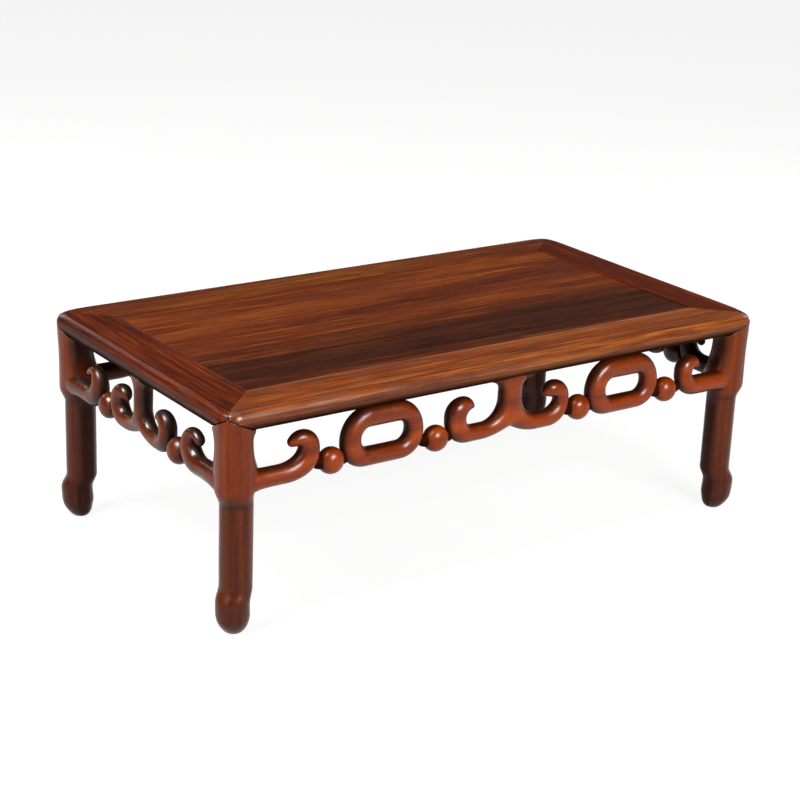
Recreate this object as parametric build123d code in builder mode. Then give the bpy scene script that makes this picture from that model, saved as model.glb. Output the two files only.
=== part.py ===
from build123d import *
from math import acos, atan2, cos, degrees, radians, sin, sqrt
import os

# Kang table: a low rectangular table with a mitred frame-and-panel top, four legs with
# hoof feet, and open aprons made of hooked arms, beads, oval rings and double scrolls.
# Millimetres. +X runs along the table, +Y to the back, +Z up. The origin is on the
# floor under the middle of the top.

os.makedirs("parts", exist_ok=True)

# ---------------------------------------------------------------- driving dimensions

table_length = 900.0
table_width = 495.0
table_height = 310.0

# Top frame: two long rails and two end rails, mitred at the corners.
rail_width = 70.0
rail_thickness = 30.0
corner_radius = 24.0          # rounding of the frame's corners, seen from above
edge_radius = 14.0            # rounding under the frame's outer edge
crease_inset = 9.0            # how far in the flat top face ends, at a fine step
crease_step = 0.5

# Floating panel of two boards, with a tongue all round in the rails' groove.
panel_thickness = 14.0
panel_drop = 0.6              # the panel lies this much below the rails' top
panel_gap = 0.6               # open line between the panel and the rails
panel_seam_offset = -18.0     # the boards' glued seam, from the middle of the table
tongue_thickness = 6.0
tongue_lift = 1.6             # tongue above the panel's underside
groove_depth = 8.0
tongue_end_play = 0.8         # room for the wood to move, at the bottom of the groove
tongue_top_play = 0.2

# Battens: they slide across under the panel in dovetail housings.
batten_count = 3
batten_spacing = 230.0
batten_width = 30.0
batten_height = 14.0
dovetail_height = 4.0
dovetail_neck = 15.0
dovetail_flare = 2.0          # each side of the dovetail widens by this much
batten_tenon_width = 20.0
batten_tenon_thickness = 7.0
batten_tenon_length = 20.0
batten_tenon_lift = 4.0       # tenon above the batten's underside

# Leg: a rounded square block, a round shaft and a hoof foot pushed out to the corner.
block_size = 48.0
block_radius = 19.0
block_depth = 94.0            # block's height, down from the rails' underside
block_edge_radius = 5.0       # rounding under the block
head_rise = 26.5              # the mitred slopes' meeting point, above the rails' underside
shaft_radius = 22.0
shaft_inset = 27.0            # shaft axis from each outer face
ankle_height = 78.0
instep_height = 63.0
instep_radius = 22.0
instep_push = 1.5
bulge_height = 46.0
bulge_radius = 22.0
bulge_push = 5.0
toe_height = 14.0
toe_radius = 18.8
toe_push = 3.0
sole_radius = 12.0

# Joinery.
mitre_tenon_length = 24.0
mitre_tenon_width = 18.0
mitre_tenon_thickness = 9.0
mitre_tenon_inset = 46.0      # tenon's near side, from the rail's outer face
mitre_tenon_lift = 5.0
head_tenon_side = 10.0
head_tenon_near = 14.0        # head tenon's near side, from the rail's outer face
head_tenon_far = 30.0         # the same, from the other outer face
head_tenon_reach = 16.0       # above the rails' underside
arm_tenon_length = 16.0
arm_tenon_width = 9.0
arm_tenon_height = 15.0
stem_tenon_length = 18.0
stem_tenon_width = 10.0
stem_tenon_reach = 14.0
joint_clearance = 0.1         # all round each tenon, and at its end
peg_radius = 3.0
peg_clearance = 0.05
peg_grip = 14.0               # how far a peg reaches past a bead into each neighbour
ring_peg_reach = 11.0         # how far a ring's pegs reach into the ring and the rail

# Aprons: carved pieces of one round section, set back from the legs' outer faces.
apron_inset = 3.5
apron_depth = 26.0
apron_drop = 81.0             # how far the aprons hang below the rails
apron_edge_radius = 5.0
band = 26.0                   # width of the arms, rings and scrolls, seen from the front
bead_radius = 18.7
bead_depth = 27.0
bead_edge_radius = 12.0
bead_rise = 18.5              # bead's middle, above the aprons' lowest line
collar_radius = 10.0
collar_length = 8.0
tip_radius = 5.3              # rounding of the hooks' and scrolls' beaks

# Long aprons, distances from the middle of the apron.
ring_corner_radius = 34.0
ring_hole_radius = 12.0
ring_edge_radius = 11.0
ring_peg_spacing = 32.0
arm_reach = 142.5             # hook's far side, from the table's end
long_hook_drop = 17.0         # hook's crown, below the rail
long_scroll_half = 103.0
long_scroll_drop = 13.5       # scroll's crown, below the rail
long_stem_half = 17.5
hook_bead_gap = 1.0           # air lines that the beads' collars cross
ring_bead_gap = 0.3
scroll_bead_gap = 2.1

# Short aprons, distances from the middle of the apron.
side_scroll_half = 82.0       # a side scroll's lobe, from its middle
side_drop = 21.0              # crowns of the hooks and scrolls, below the rail
side_neighbour_space = 32.0   # between a hook and its scroll, with the bead between them
side_stem_half = 14.0

# Shared shape of the hooks and scrolls.
hook_corner = 27.0            # lower outer corner of the arm
hook_crown = 25.0             # rounding over the top of the hook
hook_tip_turn = 30.0          # where the beak ends on its curve, in degrees
throat_radius = 7.0
curl_crown = 24.0             # rounding over the outer half of a scroll's curl
curl_brow = 26.0              # the same, over its inner half
curl_tip_turn = 150.0         # where the beak ends on its curve, in degrees
lobe_corner = 33.0
lobe_flat = 14.0
lobe_band = 24.0              # height of a lobe at its lowest place
notch_rise = 12.0             # the cleft between the two lobes
notch_radius = 5.5
stem_bend = 26.0
stem_flare = 10.0
boss_height = 4.0             # pad under each rail, which the stem meets

# ---------------------------------------------------------------- worked-out sizes

half_length = table_length / 2
half_width = table_width / 2
rail_bottom = table_height - rail_thickness
opening_length = table_length - 2 * rail_width
opening_width = table_width - 2 * rail_width
panel_top = table_height - panel_drop
panel_bottom = panel_top - panel_thickness
tongue_bottom = panel_bottom + tongue_lift
tongue_reach = groove_depth - tongue_end_play
batten_bottom = panel_bottom - batten_height
boss_bottom = rail_bottom - boss_height
block_bottom = rail_bottom - block_depth
apron_bottom = rail_bottom - apron_drop
apron_middle = apron_inset + apron_depth / 2
bead_height = apron_bottom + bead_rise
long_hook_edge = half_length - arm_reach
outer_bead_centre = long_hook_edge - hook_bead_gap - bead_radius
inner_bead_centre = long_scroll_half + scroll_bead_gap + bead_radius
ring_start = inner_bead_centre + bead_radius + ring_bead_gap
ring_end = outer_bead_centre - bead_radius - ring_bead_gap
ring_length = ring_end - ring_start
ring_centre = (ring_start + ring_end) / 2
long_hook_top = rail_bottom - long_hook_drop
long_scroll_top = rail_bottom - long_scroll_drop
side_hook_edge = side_scroll_half + side_neighbour_space
side_bead_centre = side_hook_edge - side_neighbour_space / 2
side_top = rail_bottom - side_drop
bead_peg_length = 2 * (bead_radius + peg_grip)
beyond = 20.0                 # cutters run this far past what they cut

front_plane = Plane(origin=(0, -half_width + apron_inset, 0), x_dir=(1, 0, 0), z_dir=(0, -1, 0))
left_plane = Plane(origin=(-half_length + apron_inset, 0, 0), x_dir=(0, -1, 0), z_dir=(-1, 0, 0))


def save(shape, label):
    """Label one finished piece and write it."""
    shape.label = label
    export_step(shape, f"parts/{label}.step")


def mirrored(shape, across_length=False, across_width=False):
    """A copy on the other end of the table, on the other long side, or both."""
    if across_length:
        shape = mirror(shape, about=Plane.YZ)
    if across_width:
        shape = mirror(shape, about=Plane.XZ)
    return shape


def save_four(shape, stem):
    """A piece of the front left corner, and its copies at the other corners."""
    save(shape, f"{stem}_front_left")
    save(mirrored(shape, across_length=True), f"{stem}_front_right")
    save(mirrored(shape, across_width=True), f"{stem}_back_left")
    save(mirrored(shape, across_length=True, across_width=True), f"{stem}_back_right")


def block(x_range, y_range, z_range, mode=Mode.ADD):
    """A box given by its limits, inside the part that is being built."""
    size = [high - low for low, high in (x_range, y_range, z_range)]
    middle = [(high + low) / 2 for low, high in (x_range, y_range, z_range)]
    with Locations(tuple(middle)):
        Box(*size, mode=mode)


def grown(limits, clearance):
    """Limits widened by a clearance at both ends."""
    return (limits[0] - clearance, limits[1] + clearance)


# ---------------------------------------------------------------- tenons, as limits

head_long_tenon = (
    (-half_length + head_tenon_far, -half_length + head_tenon_far + head_tenon_side),
    (-half_width + head_tenon_near, -half_width + head_tenon_near + head_tenon_side),
    (rail_bottom - block_edge_radius, rail_bottom + head_tenon_reach),
)
head_end_tenon = (
    (-half_length + head_tenon_near, -half_length + head_tenon_near + head_tenon_side),
    (-half_width + head_tenon_far, -half_width + head_tenon_far + head_tenon_side),
    (rail_bottom - block_edge_radius, rail_bottom + head_tenon_reach),
)
mitre_tenon = (
    (-half_length + mitre_tenon_inset - mitre_tenon_length, -half_length + rail_width),
    (-half_width + mitre_tenon_inset, -half_width + mitre_tenon_inset + mitre_tenon_width),
    (rail_bottom + mitre_tenon_lift, rail_bottom + mitre_tenon_lift + mitre_tenon_thickness),
)
arm_tenon_z = (
    apron_bottom + (band - arm_tenon_height) / 2,
    apron_bottom + (band + arm_tenon_height) / 2,
)
arm_tenon_across = (apron_middle - arm_tenon_width / 2, apron_middle + arm_tenon_width / 2)
arm_tenon_along = (block_size - arm_tenon_length, block_size + block_radius)
long_arm_tenon = (
    tuple(along - half_length for along in arm_tenon_along),
    tuple(across - half_width for across in arm_tenon_across),
    arm_tenon_z,
)
side_arm_tenon = (
    tuple(across - half_length for across in arm_tenon_across),
    tuple(along - half_width for along in arm_tenon_along),
    arm_tenon_z,
)
stem_tenon_z = (boss_bottom - stem_flare, rail_bottom + stem_tenon_reach)
stem_half = (-stem_tenon_length / 2, stem_tenon_length / 2)
stem_across = (apron_middle - stem_tenon_width / 2, apron_middle + stem_tenon_width / 2)
long_stem_tenon = (stem_half, tuple(across - half_width for across in stem_across), stem_tenon_z)
side_stem_tenon = (tuple(across - half_length for across in stem_across), stem_half, stem_tenon_z)


def flipped(limits):
    """A tenon's limits, moved to the other end of the table."""
    return (tuple(sorted(-value for value in limits[0])), *limits[1:])


def mortise(limits):
    """Cut the hole for a tenon, wider than the tenon by the joint's clearance."""
    block(*[grown(pair, joint_clearance) for pair in limits], mode=Mode.SUBTRACT)


# ---------------------------------------------------------------- leg

shaft_x = -half_length + shaft_inset
shaft_y = -half_width + shaft_inset
block_x = -half_length + block_size / 2
block_y = -half_width + block_size / 2
mitre_slope = head_rise / block_size
slope_profile = [
    (0, rail_bottom + head_rise),
    (block_size + beyond, rail_bottom - beyond * mitre_slope),
    (block_size + beyond, rail_bottom + head_rise + beyond),
    (-beyond, rail_bottom + head_rise + beyond),
    (-beyond, rail_bottom + head_rise + beyond * mitre_slope),
]
foot_sections = [
    (0.0, sole_radius, 0.0),
    (toe_height, toe_radius, toe_push),
    (bulge_height, bulge_radius, bulge_push),
    (instep_height, instep_radius, instep_push),
    (ankle_height, shaft_radius, 0.0),
]

with BuildPart() as leg:
    with BuildSketch(Plane.XY.offset(block_bottom)):
        with Locations((block_x, block_y)):
            RectangleRounded(block_size, block_size, block_radius)
    extrude(amount=rail_bottom + head_rise - block_bottom)
    with BuildSketch(Plane(origin=(-half_length, 0, 0), x_dir=(1, 0, 0), z_dir=(0, -1, 0))):
        Polygon(*slope_profile, align=None)
    extrude(amount=table_width, both=True, mode=Mode.SUBTRACT)
    with BuildSketch(Plane(origin=(0, -half_width, 0), x_dir=(0, 1, 0), z_dir=(1, 0, 0))):
        Polygon(*slope_profile, align=None)
    extrude(amount=table_length, both=True, mode=Mode.SUBTRACT)
    fillet(leg.faces().sort_by(Axis.Z)[0].edges(), radius=block_edge_radius)
with BuildPart() as leg_head:
    add(leg.part)
    with BuildSketch(Plane.XY.offset(rail_bottom)):
        Rectangle(table_length, table_width)
    extrude(amount=rail_thickness, mode=Mode.INTERSECT)
with BuildPart() as leg_shaft:
    with BuildSketch(Plane.XY.offset(ankle_height)):
        with Locations((shaft_x, shaft_y)):
            Circle(shaft_radius)
    extrude(amount=block_bottom + block_edge_radius - ankle_height)
with BuildPart() as leg_foot:
    for height, radius, push in foot_sections:
        with BuildSketch(Plane.XY.offset(height)):
            with Locations((shaft_x - push / sqrt(2), shaft_y - push / sqrt(2))):
                Circle(radius)
    loft()
with BuildPart() as leg_whole:
    add(leg.part)
    add(leg_shaft.part)
    add(leg_foot.part)
    block(*head_long_tenon)
    block(*head_end_tenon)
    mortise(long_arm_tenon)
    mortise(side_arm_tenon)
save_four(leg_whole.part, "leg")

# ---------------------------------------------------------------- top frame

with BuildPart() as top_blank:
    with BuildSketch(Plane.XY.offset(rail_bottom)):
        RectangleRounded(table_length, table_width, corner_radius)
    extrude(amount=rail_thickness - crease_step)
    fillet(top_blank.faces().sort_by(Axis.Z)[0].edges(), radius=edge_radius)
    fillet(top_blank.faces().sort_by(Axis.Z)[-1].edges(), radius=crease_inset)
    with BuildSketch(Plane.XY.offset(table_height - crease_step)):
        RectangleRounded(
            table_length - 2 * crease_inset, table_width - 2 * crease_inset, corner_radius - crease_inset
        )
    extrude(amount=crease_step)


def groove():
    """The panel's groove in whichever rail is being built."""
    with BuildSketch(Plane.XY.offset(tongue_bottom)) as reach:
        Rectangle(opening_length + 2 * groove_depth, opening_width + 2 * groove_depth)
    extrude(reach.sketch, amount=tongue_thickness + tongue_top_play, mode=Mode.SUBTRACT)


def boss(plane, stem_half_width):
    """The pad under a rail, which spreads to the rail in two hollow curves."""
    wide = stem_half_width + stem_flare + boss_height
    with BuildSketch(plane) as pad:
        with BuildLine():
            Line((wide, rail_bottom), (-wide, rail_bottom))
            RadiusArc((-wide, rail_bottom), (-wide + boss_height, boss_bottom), boss_height)
            Line((-wide + boss_height, boss_bottom), (wide - boss_height, boss_bottom))
            RadiusArc((wide - boss_height, boss_bottom), (wide, rail_bottom), boss_height)
        make_face()
    extrude(pad.sketch, amount=-apron_depth)


batten_places = [
    (index - (batten_count - 1) / 2) * batten_spacing for index in range(batten_count)
]


def batten_tenon(place, side):
    """Limits of a batten's tenon: side -1 is the front end, 1 the back end."""
    ends = sorted([side * (opening_width / 2 - panel_gap), side * (opening_width / 2 + batten_tenon_length)])
    low = batten_bottom + batten_tenon_lift
    return (
        (place - batten_tenon_width / 2, place + batten_tenon_width / 2),
        tuple(ends),
        (low, low + batten_tenon_thickness),
    )


with BuildPart() as long_rail:
    with BuildSketch(Plane.XY.offset(rail_bottom)):
        Polygon(
            (-half_length, -half_width),
            (half_length, -half_width),
            (half_length - rail_width, -half_width + rail_width),
            (-half_length + rail_width, -half_width + rail_width),
            align=None,
        )
    extrude(amount=rail_thickness)
    add(top_blank.part, mode=Mode.INTERSECT)
    groove()
    boss(front_plane, long_stem_half)
    add(leg_head.part, mode=Mode.SUBTRACT)
    add(mirrored(leg_head.part, across_length=True), mode=Mode.SUBTRACT)
    mortise(head_long_tenon)
    mortise(flipped(head_long_tenon))
    mortise(long_stem_tenon)
    block(*mitre_tenon)
    block(*flipped(mitre_tenon))
    for place in batten_places:
        mortise(batten_tenon(place, -1))
    for centre in (-ring_centre, ring_centre):
        for side in (-1, 1):
            place = centre + side * ring_peg_spacing / 2
            with Locations((place, -half_width + apron_middle, rail_bottom)):
                Cylinder(peg_radius + peg_clearance, 2 * ring_peg_reach, mode=Mode.SUBTRACT)
save(long_rail.part, "rail_long_front")
save(mirrored(long_rail.part, across_width=True), "rail_long_back")

with BuildPart() as end_rail:
    with BuildSketch(Plane.XY.offset(rail_bottom)):
        Polygon(
            (-half_length, -half_width),
            (-half_length + rail_width, -half_width + rail_width),
            (-half_length + rail_width, half_width - rail_width),
            (-half_length, half_width),
            align=None,
        )
    extrude(amount=rail_thickness)
    add(top_blank.part, mode=Mode.INTERSECT)
    groove()
    boss(left_plane, side_stem_half)
    add(leg_head.part, mode=Mode.SUBTRACT)
    add(mirrored(leg_head.part, across_width=True), mode=Mode.SUBTRACT)
    for flip in (1, -1):
        for limits in (head_end_tenon, mitre_tenon):
            mortise((limits[0], tuple(sorted(flip * value for value in limits[1])), limits[2]))
    mortise(side_stem_tenon)
save(end_rail.part, "rail_end_left")
save(mirrored(end_rail.part, across_length=True), "rail_end_right")

# ---------------------------------------------------------------- panel and battens


def dovetail(place, widen):
    """A dovetail's section, in the plane across the battens, with its foot on the panel's underside."""
    neck = dovetail_neck / 2 + widen
    Polygon(
        (place - neck, panel_bottom - widen),
        (place + neck, panel_bottom - widen),
        (place + neck + dovetail_flare, panel_bottom + dovetail_height + widen),
        (place - neck - dovetail_flare, panel_bottom + dovetail_height + widen),
        align=None,
    )


def panel_board(front_edge, back_edge):
    """One board between two edges; an edge beyond the opening gets the tongue."""
    body_front = max(front_edge, -opening_width / 2 + panel_gap)
    body_back = min(back_edge, opening_width / 2 - panel_gap)
    body_half = opening_length / 2 - panel_gap
    tongue_half = opening_length / 2 + tongue_reach
    with BuildPart() as board:
        block((-body_half, body_half), (body_front, body_back), (panel_bottom, panel_top))
        block(
            (-tongue_half, tongue_half),
            (front_edge, back_edge),
            (tongue_bottom, tongue_bottom + tongue_thickness),
        )
        with BuildSketch(Plane.XZ):
            for place in batten_places:
                dovetail(place, joint_clearance)
        extrude(amount=table_width, both=True, mode=Mode.SUBTRACT)
    return board.part


tongue_edge = opening_width / 2 + tongue_reach
save(panel_board(-tongue_edge, panel_seam_offset), "panel_board_front")
save(panel_board(panel_seam_offset, tongue_edge), "panel_board_back")

for index, place in enumerate(batten_places):
    batten_half = opening_width / 2 - panel_gap
    with BuildPart() as batten:
        block(
            (place - batten_width / 2, place + batten_width / 2),
            (-batten_half, batten_half),
            (batten_bottom, panel_bottom),
        )
        with BuildSketch(Plane.XZ):
            dovetail(place, 0)
        extrude(amount=batten_half, both=True)
        for side in (-1, 1):
            block(*batten_tenon(place, side))
    save(batten.part, f"batten_{index + 1}")

# ---------------------------------------------------------------- apron pieces


def turn(middle, radius, start, end):
    """Part of a circle about a middle point, between two angles in degrees."""
    return CenterArc(middle, radius, start_angle=start, arc_size=end - start)


def polar(middle, radius, angle):
    """The point at a distance and an angle from a middle point."""
    return (middle[0] + radius * cos(radians(angle)), middle[1] + radius * sin(radians(angle)))


def touching_line(near, near_radius, far, far_radius, side):
    """Angle on the near circle where a line that crosses to the far circle touches it."""
    apart = Vector(far) - Vector(near)
    return degrees(atan2(apart.Y, apart.X)) + side * degrees(acos((near_radius + far_radius) / apart.length))


def peg_hole(plane, along, length):
    """A level peg's hole along the apron, at the middle of its depth and the beads' height."""
    start = plane.from_local_coords((along, bead_height, -apron_depth / 2))
    with Locations(Plane(origin=start, z_dir=plane.x_dir)):
        Cylinder(peg_radius + peg_clearance, length, mode=Mode.SUBTRACT)


def round_over(solid, depth_axis, radius):
    """Round the front and back edges of the piece that is being built."""
    layers = solid.edges().group_by(depth_axis)
    fillet(layers[0] + layers[-1], radius=radius)


def make_arm(plane, depth_axis, leg_face, hook_edge, hook_top, bead_centre, tenon, leg_solid):
    """An arm from the leg, which turns up at its end and curls back in a blunt beak."""
    arm_top = apron_bottom + band
    crest = (hook_edge + hook_crown, hook_top - hook_crown)
    tip = polar(crest, hook_crown - tip_radius, hook_tip_turn)
    throat = (hook_edge + band + throat_radius, arm_top + throat_radius)
    jaw = touching_line(tip, tip_radius, throat, throat_radius, 1)
    with BuildPart() as piece:
        with BuildSketch(plane):
            with BuildLine():
                heel = turn((hook_edge + hook_corner, apron_bottom + hook_corner), hook_corner, 180, 270)
                crown = turn(crest, hook_crown, hook_tip_turn, 180)
                beak = turn(tip, tip_radius, jaw, hook_tip_turn)
                inner = turn(throat, throat_radius, jaw - 180, -90)
                Line(heel @ 0, crown @ 1)
                Line(beak @ 0, inner @ 0)
                Polyline(inner @ 1, (leg_face, arm_top), (leg_face, apron_bottom), heel @ 1)
            make_face()
        extrude(amount=-apron_depth)
        round_over(piece, depth_axis, apron_edge_radius)
        add(leg_solid, mode=Mode.SUBTRACT)
        block(*tenon)
        peg_hole(plane, bead_centre, bead_peg_length)
    return piece.part


def make_scroll(plane, depth_axis, half_span, top, stem_half_width, bead_centre, tenon):
    """The double scroll: two lobes from one stem, each curling back in a beak."""
    floor = apron_bottom + lobe_band
    bend = half_span - lobe_corner
    crest = (half_span - curl_crown, top - curl_crown)
    brow_centre = (crest[0], top - curl_brow)
    tip = polar(brow_centre, curl_brow - tip_radius, curl_tip_turn)
    throat = (half_span - band - throat_radius, floor + throat_radius)
    jaw = touching_line(tip, tip_radius, throat, throat_radius, -1)
    armpit = (stem_half_width + stem_bend, floor + stem_bend)
    flare = (stem_half_width + stem_flare, boss_bottom - stem_flare)
    notch = (0, apron_bottom + notch_rise)
    with BuildPart() as piece:
        with BuildSketch(plane) as outline:
            with BuildLine():
                heel = turn((bend, apron_bottom + lobe_corner), lobe_corner, -90, 0)
                crown = turn(crest, curl_crown, 0, 90)
                brow = turn(brow_centre, curl_brow, 90, curl_tip_turn)
                beak = turn(tip, tip_radius, curl_tip_turn, jaw + 360)
                inner = turn(throat, throat_radius, -90, jaw + 180)
                pit = turn(armpit, stem_bend, 180, 270)
                neck = turn(flare, stem_flare, 90, 180)
                Line(heel @ 1, crown @ 0)
                Line(beak @ 1, inner @ 1)
                Line(inner @ 0, pit @ 1)
                Line(pit @ 0, neck @ 1)
                Polyline(neck @ 0, (0, boss_bottom), notch)
                lobe = Line((bend - lobe_flat, apron_bottom), heel @ 0)
                TangentArc(lobe @ 0, notch, tangent=(-1, 0))
            make_face()
            mirror(about=Plane.YZ)
            fillet(outline.vertices().sort_by_distance(notch)[0], radius=notch_radius)
        extrude(amount=-apron_depth)
        round_over(piece, depth_axis, apron_edge_radius)
        block(*tenon)
        peg_hole(plane, bead_centre, bead_peg_length)
        peg_hole(plane, -bead_centre, bead_peg_length)
    return piece.part


def make_ring():
    """The oval ring of a long apron, on the right of its middle."""
    centre = (ring_centre, rail_bottom - apron_drop / 2)
    with BuildPart() as piece:
        with BuildSketch(front_plane):
            with Locations(centre):
                RectangleRounded(ring_length, apron_drop, ring_corner_radius)
                RectangleRounded(
                    ring_length - 2 * band, apron_drop - 2 * band, ring_hole_radius, mode=Mode.SUBTRACT
                )
        extrude(amount=-apron_depth)
        round_over(piece, Axis.Y, ring_edge_radius)
        peg_hole(front_plane, inner_bead_centre, bead_peg_length)
        peg_hole(front_plane, outer_bead_centre, bead_peg_length)
        ring_pegs(peg_clearance, Mode.SUBTRACT)
    return piece.part


def ring_pegs(widen, mode):
    """The upright pegs between a ring and the rail above it."""
    for side in (-1, 1):
        place = ring_centre + side * ring_peg_spacing / 2
        with Locations((place, -half_width + apron_middle, rail_bottom)):
            Cylinder(peg_radius + widen, 2 * ring_peg_reach, mode=mode)


def make_bead(plane, depth_axis, centre, neighbours):
    """A thick domed disc with a collar at each side, shaped to the pieces beside it."""
    collar = Plane(origin=plane.from_local_coords((centre, bead_height, -apron_depth / 2)), z_dir=plane.x_dir)
    with BuildPart() as piece:
        with BuildSketch(plane.offset((bead_depth - apron_depth) / 2)):
            with Locations((centre, bead_height)):
                Circle(bead_radius)
        extrude(amount=-bead_depth)
        round_over(piece, depth_axis, bead_edge_radius)
        with Locations(collar):
            Cylinder(collar_radius, 2 * (bead_radius + collar_length))
        for neighbour in neighbours:
            add(neighbour, mode=Mode.SUBTRACT)
        keep = piece.solids().sort_by(SortBy.VOLUME)[-1]
    with BuildPart() as bored:
        add(keep)
        peg_hole(plane, centre, bead_peg_length)
    return bored.part


def make_pegs(plane, bead_centres, with_rings):
    """All the pegs of one apron, as a group of separate round dowels."""
    with BuildPart() as pegs:
        for centre in bead_centres:
            start = plane.from_local_coords((centre, bead_height, -apron_depth / 2))
            with Locations(Plane(origin=start, z_dir=plane.x_dir)):
                Cylinder(peg_radius, bead_peg_length)
        if with_rings:
            ring_pegs(0, Mode.ADD)
            mirror(about=Plane.YZ)
    return pegs.part


front_right_leg = mirrored(leg.part, across_length=True)
arm_seat = block_size - block_radius / 2
front_arm = make_arm(
    front_plane,
    Axis.Y,
    half_length - arm_seat,
    long_hook_edge,
    long_hook_top,
    outer_bead_centre,
    flipped(long_arm_tenon),
    front_right_leg,
)
side_arm = make_arm(
    left_plane,
    Axis.X,
    half_width - arm_seat,
    side_hook_edge,
    side_top,
    side_bead_centre,
    side_arm_tenon,
    leg.part,
)
ring = make_ring()
long_scroll = make_scroll(
    front_plane,
    Axis.Y,
    long_scroll_half,
    long_scroll_top,
    long_stem_half,
    inner_bead_centre,
    long_stem_tenon,
)
side_scroll = make_scroll(
    left_plane,
    Axis.X,
    side_scroll_half,
    side_top,
    side_stem_half,
    side_bead_centre,
    side_stem_tenon,
)
outer_bead = make_bead(front_plane, Axis.Y, outer_bead_centre, [front_arm, ring])
inner_bead = make_bead(front_plane, Axis.Y, inner_bead_centre, [ring, long_scroll])
side_bead = make_bead(left_plane, Axis.X, side_bead_centre, [side_arm, side_scroll])
long_bead_centres = [
    side * centre for side in (-1, 1) for centre in (inner_bead_centre, outer_bead_centre)
]
front_pegs = make_pegs(front_plane, long_bead_centres, True)
left_pegs = make_pegs(left_plane, (-side_bead_centre, side_bead_centre), False)

for side_name, back in (("front", False), ("back", True)):
    save(mirrored(long_scroll, across_width=back), f"apron_{side_name}_scroll")
    save(mirrored(front_pegs, across_width=back), f"apron_{side_name}_pegs")
    for end_name, left in (("right", False), ("left", True)):
        for piece, piece_name in (
            (front_arm, "arm"),
            (ring, "ring"),
            (outer_bead, "bead_outer"),
            (inner_bead, "bead_inner"),
        ):
            copy_here = mirrored(piece, across_length=left, across_width=back)
            save(copy_here, f"apron_{side_name}_{piece_name}_{end_name}")

for side_name, right in (("left", False), ("right", True)):
    save(mirrored(side_scroll, across_length=right), f"apron_{side_name}_scroll")
    save(mirrored(left_pegs, across_length=right), f"apron_{side_name}_pegs")
    for end_name, back in (("front", False), ("back", True)):
        for piece, piece_name in ((side_arm, "arm"), (side_bead, "bead")):
            copy_here = mirrored(piece, across_length=right, across_width=back)
            save(copy_here, f"apron_{side_name}_{piece_name}_{end_name}")
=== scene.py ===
import logging
import math
from dataclasses import dataclass
from enum import Enum
from typing import Sequence

import bmesh
import bpy
import numpy as np
from mathutils import Matrix, Vector


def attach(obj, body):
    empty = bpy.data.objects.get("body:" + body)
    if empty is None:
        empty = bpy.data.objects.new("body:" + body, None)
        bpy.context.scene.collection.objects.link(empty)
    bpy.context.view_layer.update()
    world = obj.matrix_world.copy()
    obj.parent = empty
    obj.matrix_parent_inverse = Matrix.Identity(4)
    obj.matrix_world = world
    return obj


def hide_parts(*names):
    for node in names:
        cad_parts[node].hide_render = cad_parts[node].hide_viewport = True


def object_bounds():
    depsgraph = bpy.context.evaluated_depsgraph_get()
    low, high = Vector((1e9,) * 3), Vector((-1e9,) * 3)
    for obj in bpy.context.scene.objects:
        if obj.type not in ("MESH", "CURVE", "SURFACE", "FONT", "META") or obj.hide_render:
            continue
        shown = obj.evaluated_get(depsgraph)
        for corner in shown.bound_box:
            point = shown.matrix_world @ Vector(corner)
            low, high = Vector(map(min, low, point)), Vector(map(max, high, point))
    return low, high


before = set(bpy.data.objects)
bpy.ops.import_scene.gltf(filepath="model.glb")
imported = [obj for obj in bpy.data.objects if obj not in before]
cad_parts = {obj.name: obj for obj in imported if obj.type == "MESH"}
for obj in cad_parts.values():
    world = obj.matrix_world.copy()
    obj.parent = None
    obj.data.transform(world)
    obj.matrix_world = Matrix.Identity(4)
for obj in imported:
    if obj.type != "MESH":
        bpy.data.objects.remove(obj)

log = logging.getLogger("kang_table")

MM = 0.001                 # the sizes below are millimetres, Blender's are metres
CAD_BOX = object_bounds()
TABLE_LENGTH, TABLE_WIDTH, TABLE_HEIGHT = (round((high - low) / MM, 1) for low, high in zip(*CAD_BOX))
RAIL_BOTTOM = 280.0
APRON_MIDDLE = 16.5        # middle of an apron's depth, behind the legs' outer faces

Array = np.ndarray
Point = tuple[float, float]
Spots = Sequence[tuple[Point, float]]    # places where painted shade gathers where parts meet, and how far it reaches
Tree = bpy.types.NodeTree
Socket = bpy.types.NodeSocket
Finishes = dict[str, bpy.types.Material]


# ------------------------------------------------------------------ curves in a plane


def oval(centre: Point, half_along: float, half_up: float, start: float, end: float, count: int) -> Array:
    """Part of an ellipse: centre plus each half width times the cosine or sine of an even run of angles.

    Args:
        centre: Middle of the ellipse.
        half_along: Half its width along the first axis.
        half_up: Half its width along the second axis.
        start: First angle, in degrees.
        end: Last angle, in degrees.
        count: How many points.

    Returns:
        The points, one per row.
    """
    turn = np.radians(np.linspace(start, end, count))
    return np.column_stack([centre[0] + half_along * np.cos(turn), centre[1] + half_up * np.sin(turn)])


def arc(centre: Point, radius: float, start: float, end: float, count: int) -> Array:
    """Part of a circle: an oval whose half widths are both the radius."""
    return oval(centre, radius, radius, start, end, count)


def on_circle(centre: Point, radius: float, angle: float) -> Point:
    """The point of a circle at an angle in degrees."""
    turn = math.radians(angle)
    return centre[0] + radius * math.cos(turn), centre[1] + radius * math.sin(turn)


def line(start: Point, end: Point, count: int) -> Array:
    """Evenly spaced points from one place to another, one per row."""
    return np.linspace(np.asarray(start, float), np.asarray(end, float), count)


def chain(*runs: Array) -> Array:
    """Runs of points joined end to end, with each shared end point kept once."""
    return np.concatenate([runs[0], *[run[1:] for run in runs[1:]]])


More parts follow.
